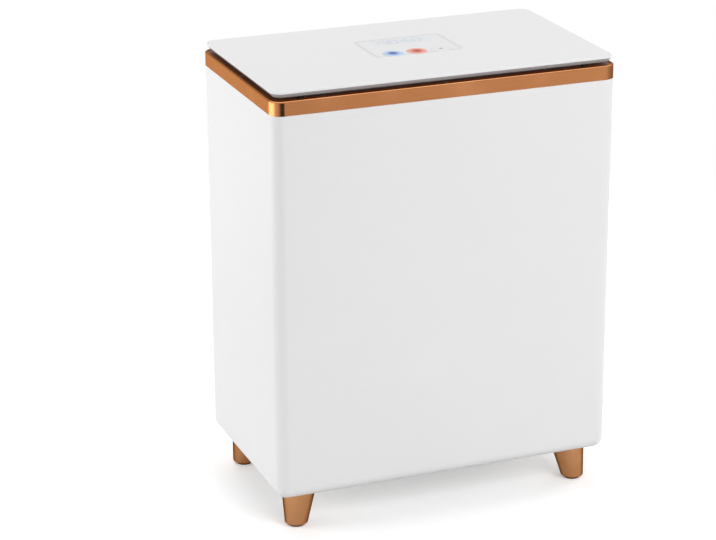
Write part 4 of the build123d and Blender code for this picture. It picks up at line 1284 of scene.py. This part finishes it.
@dataclass
class Surroundings:
    """What stands round the warmer, as a world: the camera sees it as plain white.

    Reflections meet a ring of boxes and gaps below the horizon, a plain level over and under the ring, a
    darker one above the horizon and a bright ceiling. Levels are shares of white, heights are sines of the
    elevation, and bearings are in degrees from the front towards the left side.
    """

    ambient: float = 0.42
    seen_level: float = 1.0
    ring_full: float = 8.0
    ring_height: float = -0.36
    ring_reach: tuple[float, float] = (0.12, 0.16)
    ring_share: float = 0.15
    plain_level: float = 0.85
    horizon: tuple[float, float] = (-0.03, 0.03)
    upper_level: float = 0.6
    overhead_heights: tuple[float, float] = (0.45, 0.75)
    overhead_level: float = 2.2
    # Level of the ring at each bearing: a bright box at the left and a dark gap straight in front.
    ring: tuple[tuple[float, float], ...] = (
        (-180.0, 0.7), (-160.0, 0.6), (-125.0, 0.4), (-75.0, 0.45), (-50.0, 0.6), (-30.0, 0.97),
        (-18.0, 0.94), (-13.0, 0.02), (15.0, 0.02), (36.0, 0.8), (66.0, 1.15), (92.0, 3.9),
        (138.0, 3.9), (149.0, 1.08), (166.0, 0.96), (180.0, 0.7),
    )

    def draw_ring(self, levels: bpy.types.Node) -> None:
        """Draws the ring's levels as straight pieces of a curve, as shares of its full level.

        Args:
            levels: The curve node.
        """
        curve = levels.mapping.curves[0]
        spots = [((bearing + 180) / 360, level / self.ring_full) for bearing, level in self.ring]
        curve.points[0].location = spots[0]
        curve.points[1].location = spots[-1]
        for spot in spots[1:-1]:
            curve.points.new(*spot)
        for point in curve.points:
            point.handle_type = "VECTOR"
        levels.mapping.update()

    def ring_level(self, tree: bpy.types.NodeTree, way: bpy.types.NodeOutputs) -> bpy.types.NodeSocket:
        """Builds the level of the ring from the bearing of a ray.

        Args:
            tree: The world's node tree.
            way: The ray's direction, split into its three parts.

        Returns:
            The level.
        """
        left = add_node(tree, "ShaderNodeMath", {0: way["X"], 1: -1.0}, operation="MULTIPLY").outputs[0]
        front = add_node(tree, "ShaderNodeMath", {0: way["Y"], 1: -1.0}, operation="MULTIPLY").outputs[0]
        bearing = add_node(tree, "ShaderNodeMath", {0: left, 1: front}, operation="ARCTAN2").outputs[0]
        turn = {"Value": bearing, "From Min": -math.pi, "From Max": math.pi}
        share = add_node(tree, "ShaderNodeMapRange", turn).outputs["Result"]
        levels = add_node(tree, "ShaderNodeFloatCurve", {"Value": share})
        self.draw_ring(levels)
        whole = {0: levels.outputs["Value"], 1: self.ring_full}
        return add_node(tree, "ShaderNodeMath", whole, operation="MULTIPLY").outputs[0]

    def low_level(self, tree: bpy.types.NodeTree, way: bpy.types.NodeOutputs) -> bpy.types.NodeSocket:
        """Builds the level below the horizon, where the ring fades into the plain level over and under it.

        Args:
            tree: The world's node tree.
            way: The ray's direction, split into its three parts.

        Returns:
            The level.
        """
        away = {0: way["Z"], 1: self.ring_height}
        signed = add_node(tree, "ShaderNodeMath", away, operation="SUBTRACT").outputs[0]
        apart = add_node(tree, "ShaderNodeMath", {0: signed}, operation="ABSOLUTE").outputs[0]
        near, far = self.ring_reach
        reach = {"Value": apart, "From Min": near, "From Max": far, "To Min": 1.0, "To Max": self.ring_share}
        part = add_node(tree, "ShaderNodeMapRange", reach, interpolation_type="SMOOTHSTEP").outputs["Result"]
        plain, ring = MIX_NUMBERS
        fade = {"Factor": part, plain: self.plain_level, ring: self.ring_level(tree, way)}
        return add_node(tree, "ShaderNodeMix", fade, data_type="FLOAT").outputs[MIXED_NUMBER]

    def mirrored_level(self, tree: bpy.types.NodeTree) -> bpy.types.NodeSocket:
        """Builds the level that a reflection meets in each direction.

        Args:
            tree: The world's node tree.

        Returns:
            The level.
        """
        direction = add_node(tree, "ShaderNodeTexCoord").outputs["Generated"]
        way = add_node(tree, "ShaderNodeSeparateXYZ", {0: direction}).outputs
        under, over = MIX_NUMBERS
        low, high = self.horizon
        line = {"Value": way["Z"], "From Min": low, "From Max": high}
        above = add_node(tree, "ShaderNodeMapRange", line).outputs["Result"]
        sides = {"Factor": above, under: self.low_level(tree, way), over: self.upper_level}
        level = add_node(tree, "ShaderNodeMix", sides, data_type="FLOAT").outputs[MIXED_NUMBER]
        low, high = self.overhead_heights
        ceiling = {"Value": way["Z"], "From Min": low, "From Max": high}
        overhead = add_node(tree, "ShaderNodeMapRange", ceiling, interpolation_type="SMOOTHSTEP")
        whole = {"Factor": overhead.outputs["Result"], under: level, over: self.overhead_level}
        return add_node(tree, "ShaderNodeMix", whole, data_type="FLOAT").outputs[MIXED_NUMBER]

    def build(self) -> None:
        """Sets up the world: even light for matt surfaces, boxes for reflections, white for the camera."""
        world = bpy.data.worlds.new("white_studio")
        world.use_nodes = True
        tree = world.node_tree
        tree.nodes.clear()
        white = linear("#FFFFFF")
        soft, mirrored, plain = (
            add_node(tree, "ShaderNodeBackground", {"Color": white, "Strength": strength}).outputs[0]
            for strength in (self.ambient, self.mirrored_level(tree), self.seen_level)
        )
        rays = add_node(tree, "ShaderNodeLightPath").outputs
        by_reflection = {0: rays["Is Glossy Ray"], 1: soft, 2: mirrored}
        lit = add_node(tree, "ShaderNodeMixShader", by_reflection).outputs[0]
        straight = {0: rays["Is Camera Ray"], 1: rays["Is Transmission Ray"]}
        seen = add_node(tree, "ShaderNodeMath", straight, operation="MAXIMUM").outputs[0]
        last = add_node(tree, "ShaderNodeMixShader", {0: seen, 1: lit, 2: plain}).outputs[0]
        add_node(tree, "ShaderNodeOutputWorld", {"Surface": last})
        bpy.context.scene.world = world


@dataclass
class Floor:
    """Round floor of matt white paint, in metres."""

    radius: float = 1.15
    facets: int = 96
    colour: str = "#E8E8E8"
    roughness: float = 0.95
    gloss: float = 0.1
    lift: float = 0.33

    def paint(self) -> bpy.types.Material:
        """Builds the paint, which glows a little for the camera alone and so shows as white where it is lit.

        Returns:
            The material.
        """
        material = bpy.data.materials.new("matt_white_painted_floor")
        material.use_nodes = True
        tree = material.node_tree
        shader = tree.nodes["Principled BSDF"]
        shader.inputs["Base Color"].default_value = linear(self.colour)
        shader.inputs["Roughness"].default_value = self.roughness
        shader.inputs["Specular IOR Level"].default_value = self.gloss
        seen = add_node(tree, "ShaderNodeLightPath").outputs["Is Camera Ray"]
        lift = add_node(tree, "ShaderNodeMath", {0: seen, 1: self.lift}, operation="MULTIPLY")
        glow = add_node(tree, "ShaderNodeEmission", {"Strength": lift.outputs[0]})
        both = add_node(tree, "ShaderNodeAddShader", {0: shader.outputs["BSDF"], 1: glow.outputs[0]})
        tree.links.new(both.outputs[0], tree.nodes["Material Output"].inputs["Surface"])
        return material

    def build(self) -> None:
        """Lays the floor, which takes the warmer's shadow."""
        circle = {"vertices": self.facets, "radius": self.radius, "fill_type": "NGON"}
        made = add_primitive(bpy.ops.mesh.primitive_circle_add, **circle)
        bpy.ops.object.mode_set(mode="OBJECT")
        made.name = "studio_floor"
        made.data.materials.append(self.paint())


@dataclass
class Studio:
    """White studio: camera, softboxes, surroundings and floor.

    Lengths are in metres and angles in degrees. The camera turns right by its yaw and down by its pitch.
    """

    target: Vector = field(default_factory=lambda: Vector((0.0, 0.0, 0.26)))
    camera_place: Numbers = (-1.0234, -2.4850, 1.2220)
    camera_yaw: float = 21.19
    camera_pitch: float = 19.91
    camera_roll: float = -0.34
    focal_pixels: float = 2500.0
    image_width: float = 716.0
    sensor: float = 36.0
    boxes: tuple[Softbox, ...] = (
        Softbox("left_softbox", bearing=106.0, elevation=11.0, distance=2.4, side=1.5, level=0.5),
        Softbox("right_softbox", bearing=-22.0, elevation=30.0, distance=2.5, side=1.4, level=0.54),
        Softbox("far_right_softbox", bearing=-108.0, elevation=20.0, distance=2.6, side=1.5, level=0.26),
        Softbox("rear_softbox", bearing=178.0, elevation=36.0, distance=2.8, side=1.6, level=0.38),
    )

    def camera(self) -> None:
        """Stands the camera in front of the warmer, to the left of its middle and above it."""
        yaw, pitch, roll = (math.radians(a) for a in (self.camera_yaw, self.camera_pitch, self.camera_roll))
        right = Vector((math.cos(yaw), -math.sin(yaw), 0.0))
        up = Vector((math.sin(yaw) * math.sin(pitch), math.cos(yaw) * math.sin(pitch), math.cos(pitch)))
        back = right.cross(up)
        turned_right = math.cos(roll) * right + math.sin(roll) * up
        turned_up = math.cos(roll) * up - math.sin(roll) * right
        lens = bpy.data.cameras.new("product_camera")
        lens.sensor_width = self.sensor
        lens.lens = self.focal_pixels * self.sensor / self.image_width
        holder = bpy.data.objects.new("product_camera", lens)
        axes = Matrix((turned_right, turned_up, back)).transposed()
        holder.matrix_world = Matrix.Translation(self.camera_place) @ axes.to_4x4()
        bpy.context.scene.collection.objects.link(holder)
        bpy.context.scene.camera = holder

    def build(self) -> None:
        """Sets up the whole studio."""
        bpy.context.scene.view_settings.view_transform = "Standard"
        self.camera()
        Surroundings().build()
        Floor().build()
        for box in self.boxes:
            box.place(self.target)
        LOG.info("studio with %d softboxes", len(self.boxes))


# ---------------------------------------------------------------- the whole warmer
@dataclass
class TowelWarmer:
    """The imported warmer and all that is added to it."""

    frame: Mapping[str, object]

    def key_centres(self) -> dict[Slot, Numbers]:
        """Returns the middle of each key, in metres."""
        keys = {Slot.KEY_BLUE: Body.BLUE_KEY, Slot.KEY_RED: Body.RED_KEY, Slot.KEY_WHITE: Body.WHITE_KEY}
        return {slot: tuple(sum(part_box(key.value), Vector()) / 2) for slot, key in keys.items()}

    def paint_frame(self, paints: Paints) -> None:
        """Gives every CAD node its slot's material, and the lid's shell its white with painted shade under
        the rim.

        Args:
            paints: The materials.
        """
        # The lid's shell gets painted shade where its rim turns under.
        lid_white_painted_shade = LID_FINISH_WITH_PAINTED_SHADE.make()
        for part in self.frame["record"]["subparts"]:
            name = part["node"]
            material = lid_white_painted_shade if name == "lid_panel" else paints.of(Slot(part["material_slot"]))
            for socket in self.frame["nodes"][name].material_slots:
                socket.material = material
            LOG.info("%s is %s", name, material.name)

    def build(self) -> None:
        """Paints the frame, then adds the marks, screws and pads."""
        paints = Paints(finishes(self.key_centres()))
        self.paint_frame(paints)
        ControlPanel(paints).build()
        screws = (
            ("base_cover_screws", Body.HOUSING, Drive.UP),
            ("collar_screws", Body.HOUSING, Drive.DOWN),
            ("lid_screws", Body.LID, Drive.UP),
            ("hinge_leaf_screws", Body.LID, Drive.UP),
            ("hinge_bracket_screws", Body.HOUSING, Drive.BACK),
        )
        for node, body, drive in screws:
            PanHeadScrews(node, body, drive, paints).build()
        FootPads(paints).build()


def main() -> None:
    """Loads the frame and builds the studio and the warmer."""
    logging.basicConfig(level=logging.INFO, format="%(name)s: %(message)s")
    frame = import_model()
    Studio().build()
    TowelWarmer(frame).build()
    deselect_all()


if __name__ == "__main__":
    main()
